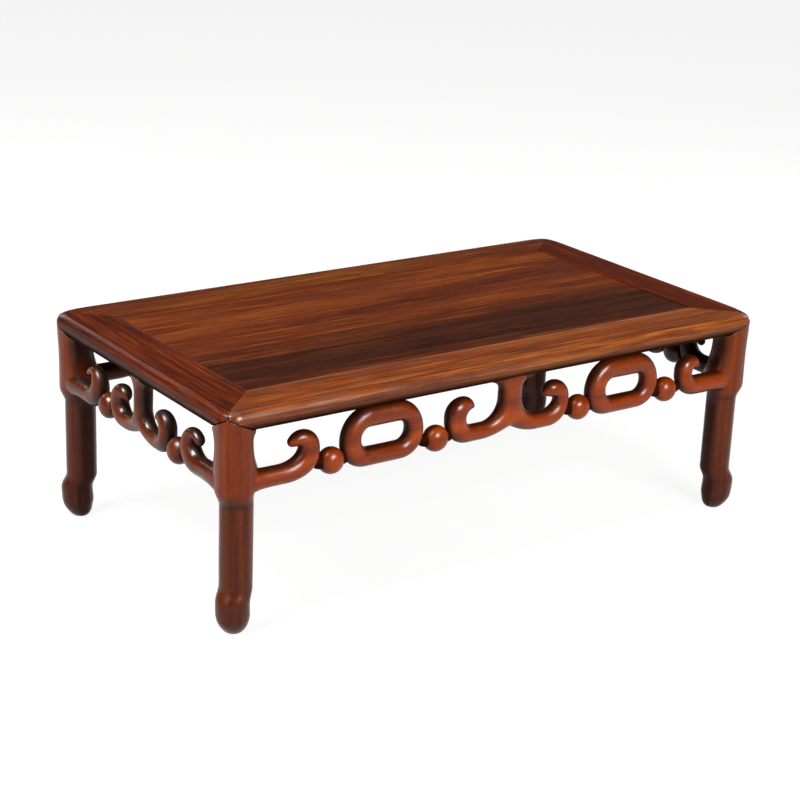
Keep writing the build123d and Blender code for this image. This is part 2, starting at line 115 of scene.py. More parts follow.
def respaced(path: Array, count: int) -> Array:
    """The same path with evenly spaced points: each coordinate read off at equal lengths along it.

    Args:
        path: The path's points, one per row.
        count: How many points to make.

    Returns:
        The evenly spaced points, one per row.
    """
    steps = np.r_[0, np.cumsum(np.linalg.norm(np.diff(path, axis=0), axis=1))]
    along = np.linspace(0, steps[-1], count)
    return np.column_stack([np.interp(along, steps, path[:, axis]) for axis in range(path.shape[1])])


def distance(points: Array, path: Array) -> Array:
    """How far each point is from a path: the least distance to any of its straight steps.

    Args:
        points: Places, with the coordinates on the last axis.
        path: The path's points, one per row.

    Returns:
        One distance for each place.
    """
    flat = points.reshape(-1, 1, 2)
    start, step = path[:-1], np.diff(path, axis=0)
    length = np.maximum((step**2).sum(1), 1e-12)
    share = np.clip(((flat - start) * step).sum(2) / length, 0, 1)
    gap = flat - (start + share[..., None] * step)
    return np.sqrt((gap**2).sum(2).min(1)).reshape(points.shape[:-1])


def smooth(share: Array) -> Array:
    """A share held between 0 and 1 and made level at both ends, by the cubic 3t^2 - 2t^3."""
    share = np.clip(share, 0, 1)
    return share * share * (3 - 2 * share)


def eased(place: Array, knots: Sequence[float], values: Sequence[float]) -> Array:
    """A value that goes level through each knot and turns smoothly between knots.

    Args:
        place: Where to read the value.
        knots: Rising places where the value is known.
        values: The value at each knot.

    Returns:
        The value at each place.
    """
    knots, values = np.asarray(knots, float), np.asarray(values, float)
    index = np.clip(np.searchsorted(knots, place) - 1, 0, len(knots) - 2)
    share = (place - knots[index]) / (knots[index + 1] - knots[index])
    return values[index] + (values[index + 1] - values[index]) * smooth(share)


def bell(away: Array, reach: float | Array) -> Array:
    """A bell curve: e to the minus square of the distance over its reach."""
    return np.exp(-((away / reach) ** 2))


def unevenness(points: Array, size: float, wave: float, seed: int) -> Array:
    """Slow hand-made swells: a sum of six sine waves in set directions with fixed, seeded phases.

    Args:
        points: Places in millimetres, with x, y and z on the last axis.
        size: Height of the swells.
        wave: Typical distance between them.
        seed: Number that picks the phases.

    Returns:
        One height for each place.
    """
    dice = np.random.default_rng(seed)
    heading = dice.normal(size=(6, 3))
    heading /= np.linalg.norm(heading, axis=1, keepdims=True)
    rate = 2 * np.pi / (wave * dice.uniform(0.7, 1.6, 6))
    phase = dice.uniform(0, 2 * np.pi, 6)
    return size * np.sin(points @ (heading * rate[:, None]).T + phase).sum(-1) / 2.4


# ------------------------------------------------------------------ from grids to pieces


@dataclass
class Skin:
    """A grid of points that covers part of a piece, with the painted shade and dark seams on it."""

    points: Array
    shade_and_seams: Array
    ring: bool = False

    def faces(self, first: int) -> Array:
        """Corner numbers of the grid's four-sided faces, counted on from the number given.

        Args:
            first: The number of the grid's first point.

        Returns:
            Four corner numbers a face, one face per row.
        """
        rows, columns = self.points.shape[:2]
        number = first + np.arange(rows * columns).reshape(rows, columns)
        if self.ring:
            number = np.concatenate([number, number[:1]])
        corners = [number[:-1, :-1], number[1:, :-1], number[1:, 1:], number[:-1, 1:]]
        return np.stack(corners, -1).reshape(-1, 4)


def make_piece(name: str, skins: Sequence[Skin], sharp: float = 38.0) -> bpy.types.Object:
    """Join grids into one closed mesh, with its faces outwards and its painted shade and dark seams kept as
    an attribute.

    Args:
        name: The piece's name.
        skins: Grids in millimetres whose edges meet.
        sharp: Angle in degrees past which an edge stays crisp.

    Returns:
        The new object, at the origin.
    """
    points = np.concatenate([skin.points.reshape(-1, 3) for skin in skins])
    shade_and_seams = np.concatenate([np.broadcast_to(skin.shade_and_seams, skin.points.shape[:2]).ravel() for skin in skins])
    starts = np.r_[0, np.cumsum([skin.points[..., 0].size for skin in skins])]
    faces = np.concatenate([skin.faces(int(start)) for skin, start in zip(skins, starts)])
    mesh = bpy.data.meshes.new(name)
    mesh.from_pydata((points * MM).tolist(), [], faces.tolist())
    mesh.attributes.new("shade_and_seams", "FLOAT", "POINT").data.foreach_set("value", shade_and_seams.astype(np.float32))
    work = bmesh.new()
    work.from_mesh(mesh)
    bmesh.ops.remove_doubles(work, verts=work.verts, dist=2e-6)
    bmesh.ops.dissolve_degenerate(work, edges=work.edges, dist=1e-7)
    bmesh.ops.recalc_face_normals(work, faces=work.faces)
    work.to_mesh(mesh)
    work.free()
    mesh.shade_smooth()
    mesh.set_sharp_from_angle(angle=math.radians(sharp))
    piece = bpy.data.objects.new(name, mesh)
    bpy.context.scene.collection.objects.link(piece)
    return piece


class Side(Enum):
    """The four sides that an apron hangs on."""

    FRONT = "front"
    BACK = "back"
    LEFT = "left"
    RIGHT = "right"

    def is_long(self) -> bool:
        """Whether this is a long side of the table."""
        return self in (Side.FRONT, Side.BACK)

    def end_word(self, hand: int) -> str:
        """What the end at the high (1) or low (-1) coordinate is called."""
        words = ("left", "right") if self.is_long() else ("front", "back")
        return words[(hand + 1) // 2]

    def place(self, along: Array, height: Array, outward: Array) -> Array:
        """Points given along the apron, up, and outward from its middle, as x, y and z.

        Args:
            along: Places along the apron, from its middle.
            height: Heights above the floor.
            outward: Places outward from the apron's middle plane.

        Returns:
            Points in millimetres, with x, y and z on the last axis.
        """
        sign = 1 if self in (Side.BACK, Side.RIGHT) else -1
        half = (TABLE_WIDTH if self.is_long() else TABLE_LENGTH) / 2
        across = sign * (half - APRON_MIDDLE + outward)
        along, across, height = np.broadcast_arrays(along, across, height)
        return np.stack([along, across, height] if self.is_long() else [across, along, height], -1)


# ------------------------------------------------------------------ materials


def linear(shade: str) -> tuple[float, float, float, float]:
    """An sRGB hex colour as linear red, green, blue and full alpha."""
    parts = [int(shade[index : index + 2], 16) / 255 for index in (1, 3, 5)]
    return tuple([c / 12.92 if c <= 0.04045 else ((c + 0.055) / 1.055) ** 2.4 for c in parts] + [1.0])


def add_node(tree: Tree, kind: str, settings: dict, links: dict) -> bpy.types.Node:
    """Add a node to a material.

    Args:
        tree: The material's node tree.
        kind: The node's type.
        settings: Node properties by name, and socket values by name or number.
        links: Output sockets by the name or number of the input that they go to.

    Returns:
        The new node.
    """
    node = tree.nodes.new(kind)
    for key, value in settings.items():
        if isinstance(key, str) and hasattr(node, key):
            setattr(node, key, value)
        else:
            node.inputs[key].default_value = value
    for key, socket in links.items():
        tree.links.new(socket, node.inputs[key])
    return node


class Grain(Enum):
    """Which way a piece's grain runs: the turn that brings it to the x axis."""

    ALONG = (0.0, 0.0, 0.0)
    ACROSS = (0.0, 0.0, math.pi / 2)
    UPRIGHT = (0.0, math.pi / 2, 0.0)


def worked(tree: Tree, operation: str, *parts: float | Socket) -> Socket:
    """What a Math node makes of its parts, each a number or another node's output.

    Args:
        tree: The material's nodes.
        operation: The node's operation.
        *parts: Numbers and outputs, in the node's order.

    Returns:
        The node's output.
    """
    numbers = {place: part for place, part in enumerate(parts) if isinstance(part, float)}
    sockets = {place: part for place, part in enumerate(parts) if place not in numbers}
    return add_node(tree, "ShaderNodeMath", {"operation": operation} | numbers, sockets).outputs[0]


def remapped(tree: Tree, value: Socket, span: Point, onto: Point, curve: str = "LINEAR") -> Socket:
    """A value carried from one span onto another, and held at its ends.

    Args:
        tree: The material's nodes.
        value: The output to carry over.
        span: The low and high end to read.
        onto: What they become.
        curve: How the value goes from one end to the other.

    Returns:
        The carried value.
    """
    settings = dict(zip(("From Min", "From Max", "To Min", "To Max"), (*span, *onto)))
    settings["interpolation_type"] = curve
    return add_node(tree, "ShaderNodeMapRange", settings, {"Value": value}).outputs[0]


def noise(tree: Tree, place: Socket, size: float, detail: float) -> bpy.types.Node:
    """Noise over coordinates in metres, with its size in millimetres."""
    settings = {"Scale": 1 / (size * MM), "Detail": detail}
    return add_node(tree, "ShaderNodeTexNoise", settings, {"Vector": place})


def stretched(tree: Tree, place: Socket, run: float, width: float, detail: float) -> Socket:
    """Noise drawn out along the grain.

    Args:
        tree: The material's node tree.
        place: The turned coordinates, in metres.
        run: Millimetres that a streak lasts along the grain.
        width: Millimetres between streaks across the grain.
        detail: Octaves of finer noise.

    Returns:
        The noise, about 0.5 in the middle.
    """
    settings = {"operation": "MULTIPLY", 1: (1000 / run, 1000 / width, 1000 / width)}
    squeezed = add_node(tree, "ShaderNodeVectorMath", settings, {0: place}).outputs[0]
    return noise(tree, squeezed, 1000.0, detail).outputs["Fac"]


@dataclass(frozen=True)
class Stain:
    """A band of dark heartwood along a board, in metres across the table."""

    middle: float = -0.112
    half: float = 0.095
    strength: float = 0.68
    ragged: float = 0.16       # how far its edges wander

    def kept(self, tree: Tree, place: Socket, bend: Socket) -> Socket:
        """How much of the wood's brightness the band leaves.

        Args:
            tree: The material's node tree.
            place: Plain object coordinates.
            bend: Coordinates turned to the grain.

        Returns:
            A factor, 1 outside the band.
        """
        across = add_node(tree, "ShaderNodeSeparateXYZ", {}, {0: place}).outputs["Y"]
        wander = stretched(tree, bend, 420.0, 28.0, 4.0)
        pushed = worked(tree, "MULTIPLY_ADD", wander, self.ragged, across)
        away = worked(tree, "ABSOLUTE", worked(tree, "SUBTRACT", pushed, self.middle + self.ragged / 2))
        return remapped(tree, away, (self.half * 0.35, self.half), (1.0 - self.strength, 1.0), "SMOOTHSTEP")


BEND_SIZE, WEAR_SIZE, SWELL_SIZE = 1000 / 9, 1000 / 26, 1000 / 60    # millimetres from one to the next


@dataclass(frozen=True)
class Rosewood:
    """Old rosewood, planed or carved, rubbed with oil and wax until it shines.

    The eye gets straight streaks in dark and light red brown, short dark pores, a soft gloss
    that is sharper where hands rub it, and painted shade, dark and dull, in the corners, under
    things and on faces turned from the lamps, with dark seams. The shades are the
    wood's under its polish, which adds a little of what is pale around the table.
    """

    name: str
    grain: Grain
    shades: tuple[str, str, str]     # the dark, middle and light streaks
    seed: float                # metres that the pattern is moved, so that no two finishes match
    streak: float = 9.0        # millimetres between colour streaks
    run: float = 260.0         # millimetres that a streak lasts
    figure: float = 0.35       # how strongly the dark year lines show
    patches: float = 0.5       # weight of the broad light and dark patches
    gloss: float = 0.30        # roughness of the polish
    shine: float = 0.12        # strength of its reflection
    dull_from: float = 0.78    # how dark the painted shade and the seams must be before the shine dulls
    stain: Stain | None = None

    def make(self) -> bpy.types.Material:
        """The finish as a material, on Object coordinates in metres.

        Returns:
            The material.
        """
        material = bpy.data.materials.new(f"rosewood_{self.name}")
        material.use_nodes = True
        tree = material.node_tree
        shader = tree.nodes["Principled BSDF"]
        shader.inputs["IOR"].default_value = 1.5
        place = add_node(tree, "ShaderNodeTexCoord", {}, {}).outputs["Object"]
        shift = (self.seed, self.seed * 0.37, self.seed * 0.71)
        settings = {"Rotation": self.grain.value, "Location": shift}
        turned = add_node(tree, "ShaderNodeMapping", settings, {"Vector": place}).outputs[0]
        drift = noise(tree, turned, BEND_SIZE, 2.0).outputs["Color"]
        settings = {"operation": "MULTIPLY_ADD", 1: (0.0, 6 * MM, 6 * MM)}
        bend = add_node(tree, "ShaderNodeVectorMath", settings, {0: drift, 2: turned}).outputs[0]
        lines = stretched(tree, bend, 80.0, 2.3, 4.0)
        # Pores are under half a millimetre wide; they are drawn about a millimetre wide so that they show.
        pores = stretched(tree, turned, 11.0, 1.1, 1.0)
        # The painted shade and dark seams kept on each piece darken its colour and dull its shine.
        shade_and_seams = add_node(tree, "ShaderNodeAttribute", {"attribute_name": "shade_and_seams"}, {}).outputs["Fac"]
        shade = self.darkening(tree, lines, pores, shade_and_seams)
        if self.stain:
            shade = worked(tree, "MULTIPLY", shade, self.stain.kept(tree, place, bend))
        links = {0: self.streaked(tree, bend), "Scale": shade}
        painted = add_node(tree, "ShaderNodeVectorMath", {"operation": "SCALE"}, links).outputs[0]
        wear = noise(tree, turned, WEAR_SIZE, 3.0).outputs["Fac"]
        rough = remapped(tree, wear, (0.3, 0.7), (self.gloss - 0.06, self.gloss + 0.10))
        dull_span = (self.dull_from, 0.95)
        surface = {
            "Base Color": painted,
            "Roughness": worked(tree, "ADD", rough, remapped(tree, shade_and_seams, dull_span, (0.0, 0.4))),
            "Specular IOR Level": remapped(tree, shade_and_seams, dull_span, (self.shine, self.shine * 0.1)),
            "Normal": self.relief(tree, place, worked(tree, "ADD", lines, pores)),
        }
        for name, socket in surface.items():
            tree.links.new(socket, shader.inputs[name])
        return material

    def darkening(self, tree: Tree, lines: Socket, pores: Socket, shade_and_seams: Socket) -> Socket:
        """The year lines, pores, painted shade and dark seams as one factor of the colour.

        Args:
            tree: The material's nodes.
            lines: The noise of the year lines.
            pores: The noise of the pores.
            shade_and_seams: How much painted shade and seam darkening the place has, from 0 to 1.

        Returns:
            The factor, small where the wood is dark.
        """
        lined = remapped(tree, lines, (0.36, 0.58), (1.0 - self.figure, 1.08))
        dotted = remapped(tree, pores, (0.30, 0.42), (0.72, 1.0))
        left_by_shade = remapped(tree, shade_and_seams, (0.0, 1.0), (1.0, 0.07))
        return worked(tree, "MULTIPLY", worked(tree, "MULTIPLY", lined, dotted), left_by_shade)

    def streaked(self, tree: Tree, bend: Socket) -> Socket:
        """The wood's three shades, in streaks that are lighter or darker in broad patches.

        Args:
            tree: The material's nodes.
            bend: Coordinates along the grain, gently bent.

        Returns:
            The colour.
        """
        streaks = stretched(tree, bend, self.run, self.streak, 3.0)
        broad = stretched(tree, bend, 500.0, 45.0, 2.0)
        mixed = worked(tree, "MULTIPLY_ADD", broad, self.patches, streaks)
        ramp = add_node(tree, "ShaderNodeValToRGB", {}, {"Fac": mixed})
        low, high = 0.34 + self.patches * 0.40, 0.66 + self.patches * 0.60
        stops = ramp.color_ramp.elements
        stops[0].position, stops[1].position = low, high
        stops.new((low + high) / 2)
        for stop, shade in zip(stops, self.shades):
            stop.color = linear(shade)
        return ramp.outputs["Color"]

    def relief(self, tree: Tree, place: Socket, height: Socket) -> Socket:
        """Fine grooves along the grain, over slow swells left by the hand.

        Args:
            tree: The material's nodes.
            place: Object coordinates in metres.
            height: The grooves' height, from the year lines and the pores.

        Returns:
            The bumped normal.
        """
        settings = {"Strength": 0.35, "Distance": 0.12 * MM}
        grooves = add_node(tree, "ShaderNodeBump", settings, {"Height": height}).outputs[0]
        swell = noise(tree, place, SWELL_SIZE, 2.0).outputs["Fac"]
        settings = {"Strength": 0.5, "Distance": 0.3 * MM}
        return add_node(tree, "ShaderNodeBump", settings, {"Height": swell, "Normal": grooves}).outputs[0]


def make_finishes() -> Finishes:
    """Every finish on the table, made once and kept by the part that it is for.

    Returns:
        The materials by the part's name.
    """
    planed = {"streak": 3.6, "run": 240.0, "figure": 0.5, "gloss": 0.33, "shine": 0.16, "dull_from": 0.1}
    front, end, board = planed | {"shine": 0.3}, planed | {"shine": 0.1}, planed | {"stain": Stain()}
    leg = {"gloss": 0.24, "figure": 0.14, "shine": 0.2}
    carved = {"streak": 18.0, "gloss": 0.26, "figure": 0.08, "shine": 0.25}
    unseen = ("#2c120a", "#472011", "#5c2d19")
    along, across, upright = Grain
    woods = {
        "front_rail": Rosewood("planed_front_rail", along, ("#5e2606", "#823a0a", "#a3581f"), 0.31, **front),
        "back_rail": Rosewood("planed_back_rail", along, ("#431802", "#672a04", "#8c4a10"), 1.11, **planed),
        "end_rail": Rosewood("planed_end_rails", across, ("#371102", "#581b03", "#78310a"), 1.73, **end),
        "panel": Rosewood("planed_panel", along, ("#431602", "#6b2904", "#93490f"), 2.91, **board),
        "leg": Rosewood("carved_legs", upright, ("#5c1f04", "#7c3007", "#92400c"), 4.17, **leg),
        "apron": Rosewood("carved_aprons", along, ("#7a2a04", "#9a3b05", "#ae490a"), 5.53, **carved),
        # The side aprons are the same wood as the front ones in darker shades: painted shade for faces turned
        # from the brightest lamps.
        "apron_side_painted_darker": Rosewood(
            "carved_side_aprons_painted_darker", across, ("#521d03", "#6b2904", "#7e3608"), 6.11, **carved
        ),
        "batten": Rosewood("sawn_battens", across, unseen, 7.37, gloss=0.5),
        "peg": Rosewood("turned_pegs", along, unseen, 8.21, gloss=0.5),
    }
    return {part: wood.make() for part, wood in woods.items()}


def dress(piece: bpy.types.Object, finish: bpy.types.Material, slot: str, *nodes: str) -> None:
    """Give a new piece its finish, and put it in the place of CAD nodes.

    Args:
        piece: The new piece.
        finish: Its material.
        slot: The record's material slot; not used.
        nodes: The CAD nodes that it stands for.
    """
    piece.data.materials.append(finish)
    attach(piece, "root")
    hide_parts(*nodes)
    log.info("%s: %d faces, for %s", piece.name, len(piece.data.polygons), ", ".join(nodes))


# ------------------------------------------------------------------ carved members


TURN_ROWS = 72             # rows of a hook's grid round its turn
CURL_ROWS = 74             # rows of a scroll's grid round one curl
LOBE_ROWS = 50             # rows of a scroll's grid along one lobe
BEAK_ROWS = 10             # rows round a beak
CURL_END = BEAK_ROWS + CURL_ROWS


@dataclass
class Member:
    """A carved member of round section between two edges, seen from outside the table.

    Its plan is the two edges with straight lines between matching points. Each side swells
    from the plan by an ellipse over the distances to both edges, and is flat in the middle
    where the member is wider than its rounding reaches.
    """

    outer: Array
    inner: Array
    columns: int = 22
    closed: bool = False       # the last row meets the first
    capped: bool = False       # the last row is closed off
    edge: Array | None = None  # the real outer edge, where the plan's outer side isn't all edge
    other_edges: Sequence[Array] = ()
    half_depth: float = 13.0
    rounding: float = 14.5     # how far in from an edge the face still swells
    fullness: float = 2.0      # power of the swell: 2 makes it an ellipse
    shallow_tip: float = 0.62  # power by which a narrow stretch is thinner

    def plan(self) -> Array:
        """The plan's points: rows along the member, columns across, close together at the edges."""
        share = (1 - np.cos(np.pi * np.linspace(0, 1, self.columns))) / 2
        return self.inner[:, None] * (1 - share[:, None]) + self.outer[:, None] * share[:, None]

    def looped(self, edge: Array) -> Array:
        """An edge, brought back to its first point where the member is a ring."""
        return np.concatenate([edge, edge[:1]]) if self.closed else edge

    def depths(self, plan: Array) -> tuple[Array, Array]:
        """How far each side stands out from the middle plane, and its share of the depth at the middle.

        Args:
            plan: Points of the flat plan.

        Returns:
            The depth in millimetres, and the share from 0 to 1.
        """
        from_outer = distance(plan, self.looped(self.outer if self.edge is None else self.edge))
        inner_edges = [self.looped(self.inner), *self.other_edges]
        from_inner = np.min([distance(plan, edge) for edge in inner_edges], axis=0)
        reach = np.clip((from_outer + from_inner) / 2, 1e-6, self.rounding)
        off_middle = np.clip(1 - np.minimum(from_outer, from_inner) / reach, 0, 1)
        swell = (1 - off_middle**self.fullness) ** (1 / self.fullness)
        return self.half_depth * (reach / self.rounding) ** self.shallow_tip * swell, swell

    def darkened(self, plan: Array, swell: Array, spots: Spots) -> Array:
        """Painted shade on the member.

        It is the largest of the bell curves of the distance to each spot, painted shade where
        parts meet, and a smooth fall from the member's middle to its sides, painted shade where
        the round section turns from the lamps, over a little that comes in with the height,
        painted shade under the rail.

        Args:
            plan: The plan's points.
            swell: Each point's share of the depth at the member's middle.
            spots: Places where painted shade gathers, and how far it reaches.

        Returns:
            The painted shade at each point, from 0 to 1.
        """
        # Painted shade under the rail, growing with the height, and painted shade towards the member's sides.
        high = 0.34 * np.clip((plan[..., 1] - 236.0) / 40.0, 0, 1)
        painted_shade = high + (0.88 - high) * smooth((0.98 - swell) / 0.55)
        for place, reach in spots:
            painted_shade = np.maximum(painted_shade, bell(np.linalg.norm(plan - np.array(place), axis=-1), reach))
        return painted_shade

    def skins(self, side: Side, hand: int, spots: Spots, seed: int) -> list[Skin]:
        """The member's two faces: the plan's points moved out and in by their depth.

        Args:
            side: The side of the table.
            hand: 1 as drawn, or -1 mirrored along the apron.
            spots: Places where painted shade gathers, and how far it reaches.
            seed: Number for the hand-made unevenness.

        Returns:
            The outward face and the inward one, which is painted darker all over as painted shade, since it
            faces into the table.
        """
        plan = self.plan()
        depth, swell = self.depths(plan)
        shade_and_seams = self.darkened(plan, swell, spots)
        if self.capped:
            plan, shade_and_seams = (np.concatenate([part, part[-1:]]) for part in (plan, shade_and_seams))
            depth = np.concatenate([depth, 0 * depth[:1]])
        skins = []
        # The inward face gets painted shade all over, since it faces into the table.
        for face, painted_shade in ((1, shade_and_seams), (-1, np.maximum(shade_and_seams, 0.86))):
            points = side.place(hand * plan[..., 0], plan[..., 1], face * depth)
            swell = unevenness(points, 0.22, 42.0, seed) * np.minimum(depth / 6, 1) * (depth > 1e-6)
            points = side.place(hand * plan[..., 0], plan[..., 1], face * (depth + swell))
            skins.append(Skin(points, painted_shade, self.closed))
        return skins


def jaw_angle(beak: Point, hollow: Point, gap: float, way: int) -> float:
    """Where the straight side of a beak leaves its round tip, in degrees on the tip's circle.

    The side touches the tip and, across from it, the round hollow, so the cosine of its angle
    to the line between their middles is the sum of both radii over their distance.

    Args:
        beak: Middle of the tip's circle.
        hollow: Middle of the hollow's circle.
        gap: Sum of both radii.
        way: 1 or -1, for the side of the line between the middles.

    Returns:
        The angle, from 0 to 360.
    """
    apart = np.subtract(hollow, beak)
    touch = math.acos(gap / np.linalg.norm(apart))
    return math.degrees(math.atan2(apart[1], apart[0]) + way * touch) % 360


@dataclass
class Hook:
    """An arm from the leg that turns up at its end and curls back to a beak.

    Lengths along the apron are from its middle, and heights are from the floor.
    """

    edge: float                # the hook's far side
    leg_end: float             # where the arm ends, inside the leg
    leg_face: float            # where the leg's inner face is
    bottom: float = 196.5
    band: float = 27.0         # the arm's height
    wall: float = 30.0         # the upright's width
    top: float = 264.8
    heel_run: float = 50.0
    heel_rise: float = 34.0
    crown: float = 25.0
    turn: float = 34.0         # degrees at which the crown gives way to the beak
    tip: float = 6.2
    throat: float = 3.5
    sweep_run: float = 30.0
    sweep_rise: float = 17.0

    def member(self) -> Member:
        """The hook's two edges, in matching runs from the leg to the beak.

        Returns:
            The hook as a member of its apron.
        """
        arm_top = self.bottom + self.band
        crest = (self.edge + self.crown, self.top - self.crown)
        beak = on_circle(crest, self.crown - self.tip, self.turn)
        hollow = (self.edge + self.wall + self.throat, arm_top + self.sweep_rise)
        jaw = jaw_angle(beak, hollow, self.tip + self.throat, 1) - 360
        nose = (jaw + self.turn) / 2
        heel = (self.edge + self.heel_run, self.bottom + self.heel_rise)
        sweep = (self.edge + self.wall + self.sweep_run, arm_top + self.sweep_rise)
        outer_turn = chain(
            oval(heel, self.heel_run, self.heel_rise, 270, 180, 34),
            line((self.edge, heel[1]), (self.edge, crest[1]), 6),
            arc(crest, self.crown, 180, self.turn, 34),
        )
        round_the_throat = arc(hollow, self.throat, 180, jaw + 180, 24)
        inner_turn = chain(
            oval(sweep, self.sweep_run, self.sweep_rise, 270, 180, 30),
            round_the_throat,
            line(tuple(round_the_throat[-1]), on_circle(beak, self.tip, jaw), 17),
        )
        above, below = (arc(beak, self.tip, start, nose, BEAK_ROWS) for start in (self.turn, jaw))
        return Member(
            self.edge_of((heel[0], self.bottom), -1, outer_turn, above),
            self.edge_of((sweep[0], arm_top), 1, inner_turn, below),
        )

    def edge_of(self, arm_end: Point, way: int, turn: Array, nose: Array) -> Array:
        """One edge: the arm, which spreads where it meets the leg, the turn evenly spaced, and the beak.

        The spread is 2 mm above and 3 mm below, and falls off over 7 mm by an exponential.

        Args:
            arm_end: Where the arm gives way to the turn.
            way: 1 for the upper edge, -1 for the lower.
            turn: The edge round the turn.
            nose: The edge round half of the beak.

        Returns:
            The edge's points.
        """
        arm = line((self.leg_end, arm_end[1]), arm_end, 40)
        most = 2.0 if way > 0 else 3.0
        arm[:, 1] += way * most * np.exp(-np.maximum(self.leg_face + 2.0 - arm[:, 0], 0) / 7.0)
        return chain(arm, respaced(chain(arm[-1:], turn), TURN_ROWS), nose)

    def make(self, name: str, side: Side, hand: int, seed: int) -> bpy.types.Object:
        """The arm as a piece, with painted shade where it meets the bead and the leg."""
        spots = [((self.edge - 1, 216.0), 8.0), ((self.leg_face + 3, self.bottom), 5.0)]
        return make_piece(name, self.member().skins(side, hand, spots, seed))


@dataclass
class Curl:
    """One half of a double scroll, from its beak round the lobe to the middle of the stem.

    Lengths along the apron are from the stem's middle, and heights are from the floor.
    """

    half: float                # the lobe's far side
    top: float
    stem: float                # half the stem's width
    bottom: float = 198.7
    floor: float = 222.8       # bottom of the hollow between curl and stem
    wall: float = 32.0
    corner: float = 34.0
    crown: float = 27.0
    brow: float = 20.0
    turn: float = 170.0        # degrees at which the brow gives way to the beak
    tip: float = 2.0
    throat: float = 11.5
    sweep_run: float = 11.5
    sweep_rise: float = 11.5
    flat: float = 22.0         # straight stretch under the lobe
    notch: float = 209.3       # top of the cleft between the lobes
    pit: float = 28.0          # rounding between the lobe and the stem
    seam: float = 276.2        # where the stem meets the rail

    def edges(self) -> tuple[Array, Array, int]:
        """Matching runs of the outer and inner edges, and the row where the two lobes meet.

        Returns:
            The outer edge, the inner edge and the row.
        """
        stem_foot, stem_top = self.floor + self.pit, self.seam + 8
        pit = (self.stem + self.pit, stem_foot)
        half_pit, rest_of_pit = arc(pit, self.pit, 270, 225, 24), arc(pit, self.pit, 225, 180, 18)
        curl_out, curl_in = self.curl()
        under = line(tuple(curl_out[-1]), (self.half - self.corner - self.flat, self.bottom), 8)
        floor = line(tuple(curl_in[-1]), tuple(half_pit[0]), 12)
        lobe_out = chain(curl_out, respaced(chain(under, self.cleft(under[-1, 0])), LOBE_ROWS))
        lobe_in = chain(curl_in, respaced(chain(floor, half_pit), LOBE_ROWS))
        # The stem's side spreads by 9 mm in a hollow curve towards the rail.
        side = line((self.stem, stem_foot), (self.stem, stem_top), 34)
        side[:, 0] += 9.0 * np.clip((side[:, 1] - (self.seam - 13)) / 13, 0, 1) ** 2.2
        notch, foot, top = ((0.0, height) for height in (self.notch, stem_foot, stem_top))
        outer = chain(lobe_out, line(notch, foot, 18), line(foot, top, 34))
        return outer, chain(lobe_in, rest_of_pit, side), len(lobe_out)

    def curl(self) -> tuple[Array, Array]:
        """The outer and inner edges from the beak round to the lobe, in matching rows.

        Returns:
            The outer edge and the inner edge.
        """
        crest = (self.half - self.crown, self.top - self.crown)
        brow = (crest[0], self.top - self.brow)
        beak = on_circle(brow, self.brow - self.tip, self.turn)
        sweep = (self.half - self.wall - self.sweep_run, self.floor + self.sweep_rise)
        hollow = (self.half - self.wall - self.throat, sweep[1])
        jaw = jaw_angle(beak, hollow, self.tip + self.throat, -1)
        nose = (self.turn + jaw) / 2
        bend = (self.half - self.corner, self.bottom + self.corner)
        back = chain(
            arc(brow, self.brow, self.turn, 90, 20),
            arc(crest, self.crown, 90, 0, 30),
            line((self.half, crest[1]), (self.half, bend[1]), 6),
            arc(bend, self.corner, 0, -90, 30),
        )
        round_the_throat = arc(hollow, self.throat, (jaw + 180) % 360, 0, 30)
        front = chain(
            line(on_circle(beak, self.tip, jaw), tuple(round_the_throat[0]), 12),
            round_the_throat,
            oval(sweep, self.sweep_run, self.sweep_rise, 0, -90, 30),
        )
        return (
            chain(arc(beak, self.tip, nose, self.turn, BEAK_ROWS), respaced(back, CURL_ROWS)),
            chain(arc(beak, self.tip, nose, jaw, BEAK_ROWS), respaced(front, CURL_ROWS)),
        )

    def cleft(self, start: float) -> Array:
        """The lobe's underside: a power curve of the distance from the middle, rounded at the cleft.

        Args:
            start: How far from the middle it starts.

        Returns:
            The underside's points, ending in the cleft.
        """
        x, soft = np.linspace(start, 0.0, 40), 3.5
        share = (np.sqrt(x**2 + soft**2) - soft) / (math.sqrt(start**2 + soft**2) - soft)
        return np.column_stack([x, self.bottom + (self.notch - self.bottom) * (1 - share) ** 2.0])

    def skins(self, side: Side, hand: int, spots: Spots, seed: int) -> list[Skin]:
        """This half's two faces, out to the middle line.

        Args:
            side: The side of the table.
            hand: 1 as drawn, or -1 mirrored along the apron.
            spots: Centres and reaches of the spots of painted shade, on the plan.
            seed: Start of the hand's unevenness.

        Returns:
            The grids of this half.
        """
        outer, inner, meet = self.edges()
        flip = np.array([-1.0, 1.0])
        under = np.concatenate([outer[:meet], (outer[CURL_END:meet] * flip)[::-1]])
        other_side = inner[CURL_END:] * flip
        member = Member(outer, inner, columns=26, capped=True, edge=under, other_edges=[other_side])
        return member.skins(side, hand, spots, seed)


@dataclass
class Scroll:
    """A double scroll hung from the rail by one stem."""

    low_curl: Curl
    high_curl: Curl
    shift: float = 0.0         # the stem's place along the apron

    def make(self, name: str, side: Side, seed: int) -> bpy.types.Object:
        """Both halves as one piece.

        Args:
            name: The piece's name.
            side: The side of the table.
            seed: Start of the hand's unevenness.

        Returns:
            The scroll as a piece.
        """
        skins = []
        for hand, curl in ((-1, self.low_curl), (1, self.high_curl)):
            # Painted shade where the curl meets its bead, and in the cleft between the lobes.
            spots = [((curl.half + 1, 217.5), 7.0), ((0.0, curl.notch - 3), 5.0)]
            skins += curl.skins(side, hand, spots, seed)
        for skin in skins:
            skin.points[..., 0 if side.is_long() else 1] += self.shift
        return make_piece(name, skins)


